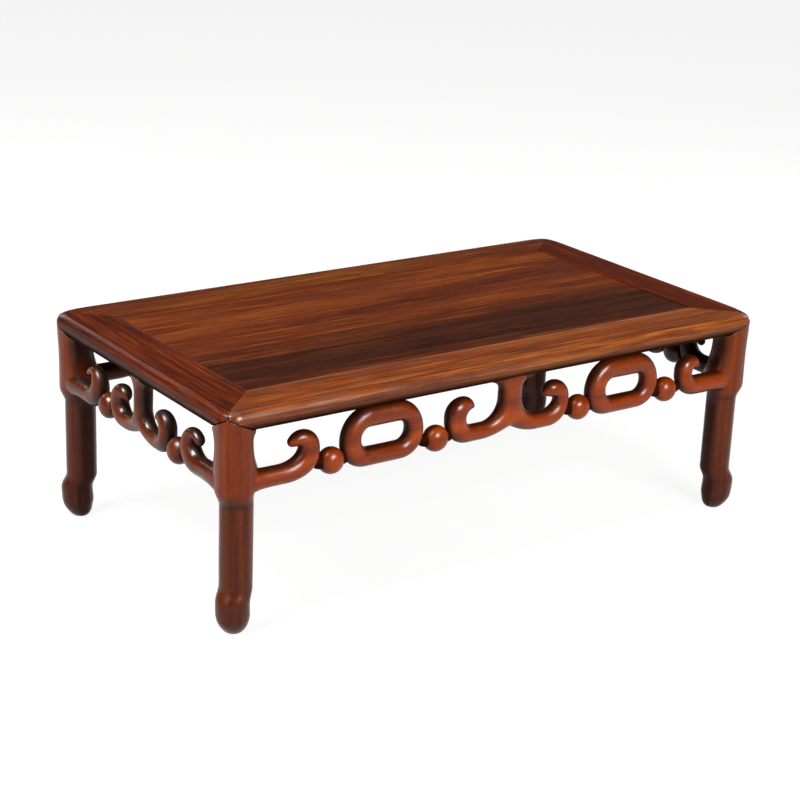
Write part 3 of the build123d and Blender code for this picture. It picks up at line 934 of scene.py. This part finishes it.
@dataclass
class Ring:
    """The oval ring of a long apron."""

    centre: float
    length: float
    hole_centre: float
    hole_length: float
    hole_middle: float
    hole_height: float
    bottom: float = 196.5
    top: float = 280.4
    upper_corner: float = 45.0
    lower_corner: float = 36.0
    hole_corner: float = 12.5

    def loop(self, half_x: float, low: float, high: float, lower: float, upper: float) -> Array:
        """A rounded oblong, anticlockwise from the middle of its right side, in runs that match another's.

        Args:
            half_x: Half its length.
            low: Its lowest height.
            high: Its highest height.
            lower: Radius of its lower corners.
            upper: Radius of its upper corners.

        Returns:
            The outline's points, with the first not repeated.
        """
        right, left = half_x, -half_x
        middle = (low + high) / 2
        return chain(
            line((right, middle), (right, high - upper), 7),
            arc((right - upper, high - upper), upper, 0, 90, 26),
            line((right - upper, high), (left + upper, high), 22),
            arc((left + upper, high - upper), upper, 90, 180, 26),
            line((left, high - upper), (left, low + lower), 13),
            arc((left + lower, low + lower), lower, 180, 270, 26),
            line((left + lower, low), (right - lower, low), 22),
            arc((right - lower, low + lower), lower, 270, 360, 26),
            line((right, low + lower), (right, middle), 7),
        )[:-1]

    def make(self, name: str, side: Side, hand: int, seed: int) -> bpy.types.Object:
        """The ring as a piece, with painted shade where it meets the beads and under the rail.

        Args:
            name: The piece's name.
            side: The side of the table.
            hand: 1 as drawn, or -1 mirrored along the apron.
            seed: Start of the hand's unevenness.

        Returns:
            The ring as a piece.
        """
        outer = self.loop(self.length / 2, self.bottom, self.top, self.lower_corner, self.upper_corner)
        low, high = self.hole_middle - self.hole_height / 2, self.hole_middle + self.hole_height / 2
        inner = self.loop(self.hole_length / 2, low, high, self.hole_corner, self.hole_corner)
        outer[:, 0] += self.centre
        inner[:, 0] += self.hole_centre
        reach = self.length / 2
        # Painted shade where the ring meets the beads, and along the rail's underside.
        spots = [((self.centre - reach, 217.5), 7.5), ((self.centre + reach, 217.5), 7.5)]
        spots += [((self.centre + step, self.top + 1), 6.0) for step in (-30, -20, -10, 0, 10, 20, 30)]
        return make_piece(name, Member(outer, inner, closed=True).skins(side, hand, spots, seed))


@dataclass
class Bead:
    """A carved bead between two members: a thick domed disc with a short neck at each side."""

    centre: float
    height: float = 214.3
    radius: float = 18.4
    half_depth: float = 15.5
    fullness: float = 2.12     # power of the dome: more than 2 gives it full shoulders
    neck: float = 10.5         # half the neck's height
    reach: float = 28.0        # how far the neck runs each way, into both neighbours

    def make(self, name: str, side: Side, hand: int, seed: int) -> bpy.types.Object:
        """The disc, an ellipsoid with full shoulders, and the neck, a slim ellipsoid on its side.

        Args:
            name: The piece's name.
            side: The side of the table.
            hand: 1 as drawn, or -1 mirrored along the apron.
            seed: Not used, since a bead is turned true; the other pieces need it.

        Returns:
            The bead as a piece.
        """
        tilt, spin = np.linspace(-np.pi / 2, np.pi / 2, 33)[:, None], np.linspace(0, 2 * np.pi, 65)
        power = 2 / self.fullness
        rim = self.radius * np.cos(tilt) ** power
        along, up = rim * np.cos(spin), rim * np.sin(spin)
        out = self.half_depth * np.sign(np.sin(tilt)) * np.abs(np.sin(tilt)) ** power + 0 * along
        disc = side.place(hand * (self.centre + along), self.height + up, out)
        # Painted shade: darker where the necks meet the disc and towards the back, and the necks painted
        # nearly black all over.
        at_necks = 0.8 * np.clip((np.abs(along) - 13.5) / 5.0, 0, 1) * bell(up, 14.0)
        painted_shade = np.maximum(at_necks, 0.75 * smooth((6.5 - out) / 9.0))
        step, wide = self.reach * np.sin(tilt) + 0 * along, self.neck * np.cos(tilt) ** 0.6
        bar = side.place(
            hand * (self.centre + step), self.height + wide * np.sin(spin), 0.86 * wide * np.cos(spin)
        )
        return make_piece(name, [Skin(disc, painted_shade), Skin(bar, np.array(0.95))])


# ------------------------------------------------------------------ the table's parts


def repaint(name: str, finish: bpy.types.Material) -> None:
    """Give a CAD node that stays a better material.

    Args:
        name: The node's name.
        finish: The material that it gets.
    """
    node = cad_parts[name]
    if not node.material_slots:
        node.data.materials.append(finish)
    for slot in node.material_slots:
        slot.material = finish
    log.info("%s keeps its solid, in %s", name, finish.name)


@dataclass
class Apron:
    """Everything that hangs under one rail, with the pieces of each end (-1 or 1) kept apart."""

    side: Side
    finishes: Finishes
    seed: int
    scroll: Scroll
    hooks: dict[int, Hook]
    beads: dict[int, dict[str, Bead]]
    rings: dict[int, Ring]

    def build(self) -> None:
        """Make the scroll, arms, beads and rings, and put each in its node's place."""
        word = self.side.value
        # Side aprons take the darker finish, painted shade for faces turned from the brightest lamps.
        finish = self.finishes["apron" if self.side.is_long() else "apron_side_painted_darker"]
        pieces = [self.scroll.make(f"{word}_scroll", self.side, self.seed)]
        for hand in (-1, 1):
            end = self.side.end_word(hand)
            parts = [("arm", self.hooks[hand], 3 + hand)]
            parts += [(label, bead, 0) for label, bead in self.beads[hand].items()]
            parts += [("ring", self.rings[hand], 7 + hand)] if self.rings else []
            for label, part, step in parts:
                pieces.append(part.make(f"{word}_{label}_{end}", self.side, hand, self.seed + step))
        for piece in pieces:
            dress(piece, finish, "apron_wood", f"apron_{piece.name}")
        repaint(f"apron_{word}_pegs", self.finishes["peg"])


@dataclass
class Leg:
    """A leg with a rounded square block, a round shaft and a hoof foot.

    Places are distances in from the two outer faces of the corner, and heights are from the floor.
    """

    corner_x: int              # 1 at the right, -1 at the left
    corner_y: int              # 1 at the back, -1 at the front
    finish: bpy.types.Material
    foot: float = 28.0         # height of the foot's dome
    shoulder: float = 181.5    # where the block steps in to the shaft
    arm: float = 214.0         # middle of the arms
    head: float = 262.0        # above this the sections bend up to the mitred slopes
    middle: float = 24.0       # middle of the head
    peak: float = 303.0        # where the mitred slopes would meet at the sharp corner
    slope: float = 0.496

    def build(self) -> None:
        """Section after section up the leg, each a rounded square that depends on its height."""
        spin = np.linspace(0, 2 * np.pi, 129)
        runs = ((0, 8, 9), (8, 80, 49), (80, 178, 26), (178, 204, 53), (204, self.head, 20))
        height = np.concatenate([[0.0], *(np.linspace(*run)[1:] for run in runs)])
        outline = self.section(height, spin)
        body = np.concatenate([outline, height[:, None, None] + 0 * outline[..., :1]], -1)
        sole = np.full_like(body[:1], (27.0, 27.0, 0.0))
        cap = np.full_like(body[:1], (self.middle, self.middle, RAIL_BOTTOM + 2))
        x, y, z = np.moveaxis(np.concatenate([sole, body, self.mitred_head(spin), cap]), -1, 0)
        shade_and_seams = self.painted_shade_and_seam(z, spin)
        x, y = self.corner_x * (TABLE_LENGTH / 2 - x), self.corner_y * (TABLE_WIDTH / 2 - y)
        words = ("back" if self.corner_y > 0 else "front", "right" if self.corner_x > 0 else "left")
        skin = Skin(np.stack([x, y, z], -1), shade_and_seams)
        piece = make_piece("leg_of_the_{}_{}".format(*words), [skin], sharp=50)
        dress(piece, self.finish, "leg_wood", "leg_{}_{}".format(*words))

    def mitred_head(self, spin: Array) -> Array:
        """The head: sections bent up to the slopes of the mitre, the last ones rolled in at the seam.

        Args:
            spin: Angles round the leg, in radians.

        Returns:
            The head's grid, one section per row.
        """
        share = np.r_[np.linspace(0, 1, 26)[1:-1], 0.985, 0.993, 1.0]
        outline = self.section(self.head + share * 30, spin)
        slopes = np.maximum(self.peak - self.slope * outline.max(-1), RAIL_BOTTOM - 0.3)
        height = self.head + share[:, None] * (slopes - self.head)
        rolled = np.zeros((len(share), 1, 1))
        rolled[-3:, 0, 0] = (0.15, 0.40, 0.85)
        reach = outline - self.middle
        outline = outline - reach / np.linalg.norm(reach, axis=-1, keepdims=True) * rolled
        return np.concatenate([outline, height[..., None]], -1)

    def painted_shade_and_seam(self, z: Array, spin: Array) -> Array:
        """Painted shade under the block's ledge and on the inner sides, darker colour down the shaft and at
        the sole, and a dark seam at the head.

        Args:
            z: Heights above the floor, one section per row.
            spin: Angles round the leg, in radians.

        Returns:
            The darkening at each point, from 0 to 1.
        """
        # Painted shade under the block's ledge.
        ledge = 0.76 * bell(z - self.shoulder, 6.0)
        # Darker down the shaft and foot.
        darker_lower = eased(z, (0, 30, 120, 176, 200, 330), (0.68, 0.62, 0.48, 0.46, 0.0, 0.0))
        # Darker at the very bottom of the sole.
        sole = 0.9 * np.clip(1 - z / 4.0, 0, 1)
        # Painted shade on the two inner sides, which face into the table, less at the arms.
        facing_in = np.clip((np.maximum(np.cos(spin), np.sin(spin)) - 0.5) / 0.42, 0, 1)
        inner = 0.87 * facing_in * (1 - 0.85 * bell(z - self.arm + 3.0, 22.0))
        shade_and_seams = np.maximum.reduce([ledge, darker_lower, sole, inner])
        # A dark seam where the head meets the rails.
        shade_and_seams[-4:] = np.maximum(shade_and_seams[-4:], np.array([0.3, 0.7, 1.0, 1.0])[:, None])
        return shade_and_seams

    def section(self, height: Array, spin: Array) -> Array:
        """Outlines of the leg at some heights.

        The outline is a circle of the rounding's radius pushed out along both axes towards the
        corners of a square, so it is a circle where the rounding is the whole half width. Its
        two inner sides flare out to the arms and to the rails.

        Args:
            height: Heights above the floor.
            spin: Angles round the section.

        Returns:
            The points, as distances in from the two outer faces.
        """
        z = height[:, None]
        knots = (0, self.foot, 46, 72, 88, 178, 196, 245, 330)
        half = eased(z, knots, (20.0, 22.6, 22.6, 21.9, 22.0, 22.0, 24.0, 23.2, 23.4))
        dome = (1 - (1 - np.clip(z / self.foot, 0, 1)) ** 1.7) ** (1 / 1.7)
        half = np.where(z < self.foot, 7.5 + 15.1 * dome, half)
        rounding = np.minimum(eased(z, (0, 176, 204, 330), (30, 30, 19, 19)), half)
        push = eased(z, (0, 20, 46, 66, 330), (0.5, 3.6, 4.8, 0, 0)) / math.sqrt(2)
        knots = (0, 42, 66, 177, 198, 250, 290, 330)
        inset_x = eased(z, knots, (28.5, 28.0, 31.0, 31.0, 26.6, 25.6, 24.0, 24.0))
        inset_y = eased(z, (0, 177, 198, 330), (26.0, 26.0, 24.4, 24.0))
        circle = np.stack([np.cos(spin), np.sin(spin)], -1)
        square = np.clip(1.35 * circle, -1, 1)
        outline = np.stack([inset_x - push, inset_y - push], -1) + (half - rounding)[..., None] * square
        to_rail = 7.0 * np.exp(-np.maximum(RAIL_BOTTOM + 6 - z, 0) / 11.0)
        to_arm = 10.0 * bell(z - self.arm, np.where(z > self.arm, 27.0, 15.0))
        flare = (to_rail + to_arm)[..., None] * np.clip(circle, 0, 1) ** 1.5
        return outline + rounding[..., None] * circle + flare


@dataclass
class Rail:
    """One rail of the frame, from mitre to mitre, with a rounded outer edge and a fine step.

    Its section is a closed loop of distances in from the outer face and heights. Each point of
    the loop is carried along the rail, and round the frame's corner where it lies outside the
    corner's middle, as far as the mitre or the slope on top of the leg.
    """

    length: float
    side: Side
    stem: float                # half the width of the scroll's stem, which the boss sits on
    stem_place: float = 0.0
    width: float = 70.0
    corner: float = 24.0       # radius of the frame's corner
    peak: float = 303.8        # where the slopes on the leg would meet at the sharp corner
    slope: float = 0.496
    leg_reach: float = 48.0    # how far in from the outer face the leg's head carries the rail

    def loop(self) -> Array:
        """The section, from the inner top edge over the outer edge and back underneath to the start.

        Returns:
            Points across the rail and up, with the first repeated at the end.
        """
        top, width = TABLE_HEIGHT, self.width
        inner_edge = [[width, top - 0.5], [width - 0.15, top - 0.15], [width - 0.5, top]]
        fine_step = [[11.3, top], [10.6, top], [9.9, top]]
        fine_step += [[9.45, top - 0.04], [9.15, top - 0.16], [9.05, top - 0.34]]
        return np.concatenate([
            inner_edge,
            line((62, top), (12.5, top), 13),
            fine_step,
            oval((12, 295), 12, 15, 104.5, 270, 44),
            line((13, RAIL_BOTTOM), (36, RAIL_BOTTOM), 20),
            line((42, RAIL_BOTTOM), (width - 0.5, RAIL_BOTTOM), 6),
            [[width, RAIL_BOTTOM + 0.5], [width, 288.0], [width, 294.0]],
            inner_edge[:1],
        ])

    def build(self, name: str, seed: int) -> bpy.types.Object:
        """The rail's whole skin, with its seams rolled in, the boss over the stem and painted shade
        underneath.

        Args:
            name: The piece's name.
            seed: Number for the hand-made unevenness.

        Returns:
            The rail as a piece.
        """
        section = self.loop()
        along, inward, z, shade_and_seams, low = self.carried(section)
        boss = eased(np.abs(along - self.stem_place), (0, self.stem + 7.5, self.stem + 21), (1, 1, 0)) * low
        z = z - 3.8 * boss
        # Painted shade on the lower half of the nose and on the underside, less on the boss.
        under = 0.96 * smooth((297.0 - section[:, 1]) / 13.0) * np.ones_like(z)
        under[[0, -1]] = 0.0
        seam = bell(z - 276.8, 1.6) * (boss > 0.5)
        shade_and_seams = np.maximum.reduce([shade_and_seams, under * (1 - 0.85 * boss), seam])
        swell = unevenness(self.side.place(along, z, APRON_MIDDLE - inward), 0.16, 90.0, seed)
        worn = np.abs(swell) * np.clip((14 - inward) / 8, 0, 1)
        points = self.side.place(along, z, APRON_MIDDLE - inward - worn)
        return make_piece(name, [Skin(points, shade_and_seams)], sharp=30)

    def carried(self, section: Array) -> Array:
        """The section carried from the seam to the middle, closed at the end, and mirrored.

        Args:
            section: The closed section.

        Returns:
            For each row and point: place along the rail, distance in from the outer face,
            height, darkening at the seams and the fine step, and how much of the boss it takes.
        """
        inset, height = section.T
        on_leg = (inset < self.leg_reach) & (height < self.peak)
        start = self.seam_start(inset, height, on_leg)
        near = start + np.r_[0.0, 0.3, 0.6, 1.1, 1.8, np.linspace(3, 44, 28)][:, None]
        share = np.r_[np.linspace(0.03, 0.86, 60), np.linspace(0.87, 1, 40)][:, None]
        middle = self.length / 2 - self.corner
        travel = np.concatenate([near, near[-1] * (1 - share) + middle * share])
        # A thin dark line along the fine step.
        crease = 0.66 * bell(inset - 9.6, 1.0) * (height > 303.0)
        # Near the mitre the fine step runs a little further in than along the rail.
        on_top = np.clip((inset - 3.0) / 5.0, 0, 1) * np.clip((34.0 - inset) / 22.0, 0, 1) * (height > 300.0)
        inset = inset + 4.5 * on_top * bell(travel - start, 17.0)
        radius = self.corner - inset
        angle = np.clip(-travel / np.maximum(radius, 1e-9), 0, np.pi / 4)
        bent = (travel < 0) & (radius > 0)
        rolled = np.zeros((len(travel), 1))
        rolled[:3, 0] = (0.55, 0.22, 0.06)
        out, up = (rolled * np.where(on_leg, 1.7, 1.0) * part for part in self.facing(section))
        along = np.where(bent, middle + radius * np.sin(angle), middle - travel)
        inward = np.where(bent, self.corner - radius * np.cos(angle), inset) - out
        shade_and_seams = np.maximum(np.clip(rolled / np.where(on_leg, 0.05, 0.4), 0, 1), crease)
        under = np.clip((290.0 - height) / 8.0, 0, 1)
        low = under * np.clip((inset - 2.5) / 3.0, 0, 1) * np.clip((33.0 - inset) / 4.0, 0, 1)
        rows = np.stack(np.broadcast_arrays(along, inward, height - up, shade_and_seams, low))
        end = np.array([self.length / 2 - 40, 40.0, 296.0, 1.0, 0.0])[:, None, None]
        half = np.concatenate([end + 0 * rows[:, :1], rows], 1)
        mirrored = half[:, -2::-1] * np.array([-1, 1, 1, 1, 1])[:, None, None]
        return np.concatenate([half, mirrored], 1)

    def facing(self, section: Array) -> Array:
        """Directions out of the section, square to the line between each point's neighbours: in, then up.

        Args:
            section: The section's points, with the first repeated.

        Returns:
            The two parts of each direction.
        """
        step = np.roll(section[:-1], -1, 0) - np.roll(section[:-1], 1, 0)
        step /= np.maximum(np.linalg.norm(step, axis=1, keepdims=True), 1e-9)
        step = np.concatenate([step, step[:1]])
        return np.stack([step[:, 1], -step[:, 0]])

    def seam_start(self, inset: Array, height: Array, on_leg: Array) -> Array:
        """How far past the corner's middle each point of the section starts.

        The mitre stops it where its distance from the end is its inset, and the slope on the
        leg where it would drop below the slope; round the corner that distance is an angle.

        Args:
            inset: Distances in from the outer face.
            height: Heights above the floor.
            on_leg: Whether each point can end on the leg's slope.

        Returns:
            The distances, less than nothing round the corner.
        """
        radius = np.maximum(self.corner - inset, 1e-9)
        in_corner = inset < self.corner
        mitre = np.where(in_corner, self.corner - radius * math.sin(math.pi / 4), inset)
        stop = np.maximum(mitre, (self.peak - height) / self.slope * on_leg)
        sine = np.clip((self.corner - stop) / radius, 0, math.sin(math.pi / 4))
        return np.where(in_corner & (stop < self.corner), -radius * np.arcsin(sine), stop - self.corner)


def build_top(finishes: Finishes) -> None:
    """Make the four mitred rails; the boards and battens keep their solids.

    Args:
        finishes: Every material.
    """
    for side in Side:
        if side.is_long():
            rail = Rail(TABLE_LENGTH, side, stem=17.5, stem_place=5.0)
            kind, finish, slot = "long", f"{side.value}_rail", "rail_wood"
        else:
            rail = Rail(TABLE_WIDTH, side, stem=14.0)
            kind, finish, slot = "end", "end_rail", "end_rail_wood"
        piece = rail.build(f"{side.value}_rail", 40 + len(side.value))
        dress(piece, finishes[finish], slot, f"rail_{kind}_{side.value}")
    for place in ("front", "back"):
        repaint(f"panel_board_{place}", finishes["panel"])
    for number in (1, 2, 3):
        repaint(f"batten_{number}", finishes["batten"])


def build_long_aprons(finishes: Finishes) -> None:
    """The front and back aprons: a blunt and a sharp hook, four beads, two rings and a scroll.

    Args:
        finishes: Every material.
    """
    leg_face = TABLE_LENGTH / 2 - 51
    blunt = Hook(303.6, leg_face + 17, leg_face)
    sharp = Hook(
        313.0, leg_face + 17, leg_face, band=29.0, wall=27.5, top=258.9, heel_run=36.0, crown=22.5,
        turn=16.0, tip=3.2, throat=5.5, sweep_run=9.0, sweep_rise=8.0,
    )
    broad = Curl(107.0, 265.4, 17.5)
    slim = Curl(
        102.4, 263.5, 17.5, bottom=196.6, floor=221.2, wall=23.0, crown=26.0, brow=18.5, turn=166.0,
        tip=6.5, throat=3.5, sweep_run=22.0, sweep_rise=13.5, pit=30.0,
    )
    beads = {
        -1: {"bead_outer": Bead(284.5), "bead_inner": Bead(118.0, 213.8)},
        1: {"bead_outer": Bead(291.8, 213.8), "bead_inner": Bead(128.5, 215.0)},
    }
    rings = {
        -1: Ring(205.5, 129.0, 204.0, 71.5, 236.5, 28.0),
        1: Ring(207.0, 130.0, 209.5, 69.0, 235.0, 27.0, upper_corner=47.0),
    }
    for side, seed in ((Side.FRONT, 11), (Side.BACK, 23)):
        scroll = Scroll(broad, slim, shift=5.0)
        Apron(side, finishes, seed, scroll, {-1: blunt, 1: sharp}, beads, rings).build()


def build_end_aprons(finishes: Finishes) -> None:
    """The left and right aprons: two hooks, two beads and a small scroll.

    Args:
        finishes: Every material.
    """
    leg_face = TABLE_WIDTH / 2 - 48.5
    hook = Hook(
        114.0, leg_face + 14, leg_face, bottom=195.5, band=28.0, wall=27.0, top=256.0, heel_run=36.0,
        heel_rise=30.0, tip=5.5, sweep_run=20.0, sweep_rise=15.0,
    )
    curl = Curl(
        82.0, 254.5, 14.0, bottom=194.5, floor=219.0, wall=27.0, corner=31.0, crown=24.0, brow=18.0, tip=4.0,
        throat=5.0, sweep_run=12.0, sweep_rise=11.0, flat=8.0, notch=206.0, pit=22.0,
    )
    beads = {hand: {"bead": Bead(98.2, 211.0)} for hand in (-1, 1)}
    for side, seed in ((Side.LEFT, 37), (Side.RIGHT, 53)):
        Apron(side, finishes, seed, Scroll(curl, curl), {-1: hook, 1: hook}, beads, {}).build()


def build_table() -> None:
    """Top, legs, then the aprons side by side."""
    finishes = make_finishes()
    build_top(finishes)
    for corner_x in (-1, 1):
        for corner_y in (-1, 1):
            Leg(corner_x, corner_y, finishes["leg"]).build()
    build_long_aprons(finishes)
    build_end_aprons(finishes)


# ------------------------------------------------------------------ stage, light and camera


@dataclass(frozen=True)
class Eye:
    """Where the camera stands, in metres, and how it is turned, in degrees."""

    place: tuple[float, float, float] = (-1.5774, -2.1899, 1.1411)
    heading: float = 35.536    # clockwise from the +Y direction
    pitch: float = -19.716
    roll: float = 2.274
    lens: float = 87.856       # on a 36 mm sensor

    def make(self) -> None:
        """A camera that looks down -Z, stood up, then rolled, pitched and turned to its heading."""
        data = bpy.data.cameras.new("eye")
        data.lens, data.sensor_width = self.lens, 36.0
        camera = bpy.data.objects.new("eye", data)
        bpy.context.scene.collection.objects.link(camera)
        heading = Matrix.Rotation(-math.radians(self.heading), 4, "Z")
        pitch = Matrix.Rotation(math.radians(90 + self.pitch), 4, "X")
        roll = Matrix.Rotation(math.radians(self.roll), 4, "Z")
        camera.matrix_world = Matrix.Translation(self.place) @ heading @ pitch @ roll
        bpy.context.scene.camera = camera


@dataclass(frozen=True)
class SoftBox:
    """A studio lamp with a square diffuser, pointed at the table."""

    name: str
    place: tuple[float, float, float]
    size: float
    power: float
    sheen_only: bool = False   # lights only the shine, as a grazing card does

    def make(self) -> None:
        """An area lamp turned towards a point on the table."""
        data = bpy.data.lights.new(self.name, "AREA")
        data.shape, data.size = "SQUARE", self.size
        data.energy = self.power
        lamp = bpy.data.objects.new(self.name, data)
        bpy.context.scene.collection.objects.link(lamp)
        lamp.visible_diffuse = not self.sheen_only
        aim = Vector((0.0, 0.0, 0.2)) - Vector(self.place)
        lamp.matrix_world = Matrix.Translation(self.place) @ aim.to_track_quat("-Z", "Y").to_matrix().to_4x4()


def make_floor() -> None:
    """A round floor and a low wall of matt white board, one sheet turned about the middle.

    The camera, mirrors and glass see it lifted to white; a shadow on it stays.
    """
    spin = np.linspace(0, 2 * np.pi, 97)[:, None]
    out, up = np.array([[0.0, 5.0, 11.0, 11.7, 12.0, 12.0], [0.0, 0.0, 0.0, 0.05, 0.25, 1.3]])
    points = np.stack([out * np.cos(spin), out * np.sin(spin), up - 0.5 * MM + 0 * spin], -1)
    floor = make_piece("floor", [Skin(points / MM, np.array(0.0))])
    floor.data.flip_normals()
    material = bpy.data.materials.new("white_board_matt")
    material.use_nodes = True
    tree = material.node_tree
    tree.nodes.clear()
    board = add_node(tree, "ShaderNodeBsdfDiffuse", {"Color": linear("#7c7b7a")}, {}).outputs[0]
    glow = add_node(tree, "ShaderNodeEmission", {"Strength": 0.88}, {}).outputs[0]
    lifted = add_node(tree, "ShaderNodeAddShader", {}, {0: board, 1: glow}).outputs[0]
    path = add_node(tree, "ShaderNodeLightPath", {}, {}).outputs
    seen = worked(tree, "MAXIMUM", path["Is Camera Ray"], path["Is Glossy Ray"])
    seen = worked(tree, "MAXIMUM", seen, path["Is Transmission Ray"])
    mixed = add_node(tree, "ShaderNodeMixShader", {}, {0: seen, 1: board, 2: lifted}).outputs[0]
    add_node(tree, "ShaderNodeOutputMaterial", {}, {"Surface": mixed})
    floor.data.materials.append(material)


def make_surround() -> None:
    """An even dim grey all round, for the shaded sides."""
    world = bpy.data.worlds.new("studio")
    world.use_nodes = True
    grey = world.node_tree.nodes["Background"]
    grey.inputs["Color"].default_value = (1.0, 1.0, 1.0, 1.0)
    grey.inputs["Strength"].default_value = 0.05
    bpy.context.scene.world = world


def build_studio() -> None:
    """The floor, the surround, the soft boxes, two cards that light only the shine, and the camera."""
    make_floor()
    make_surround()
    lamps = (
        SoftBox("soft_box_key", (-1.73, -0.17, 2.60), 1.2, 74.0),
        SoftBox("soft_box_overhead", (0.30, 0.20, 3.10), 1.2, 16.0),
        SoftBox("card_key", (-1.73, -0.17, 2.62), 1.2, 250.0, sheen_only=True),
        SoftBox("card_front", (0.12, -2.67, 1.45), 0.8, 80.0, sheen_only=True),
        SoftBox("soft_box_left", (-2.62, -0.80, 1.30), 1.2, 13.0),
        SoftBox("soft_box_front", (0.12, -2.65, 1.45), 1.2, 60.0),
        SoftBox("soft_box_right", (2.70, 0.30, 1.30), 0.9, 14.0),
        SoftBox("soft_box_back", (-0.60, 2.70, 1.30), 0.9, 14.0),
    )
    for lamp in lamps:
        lamp.make()
    Eye().make()
    bpy.context.scene.view_settings.view_transform = "Standard"


def main() -> None:
    """Build the table and the studio."""
    logging.basicConfig(level=logging.INFO, format="%(name)s: %(message)s")
    build_table()
    build_studio()


if __name__ == "__main__":
    main()
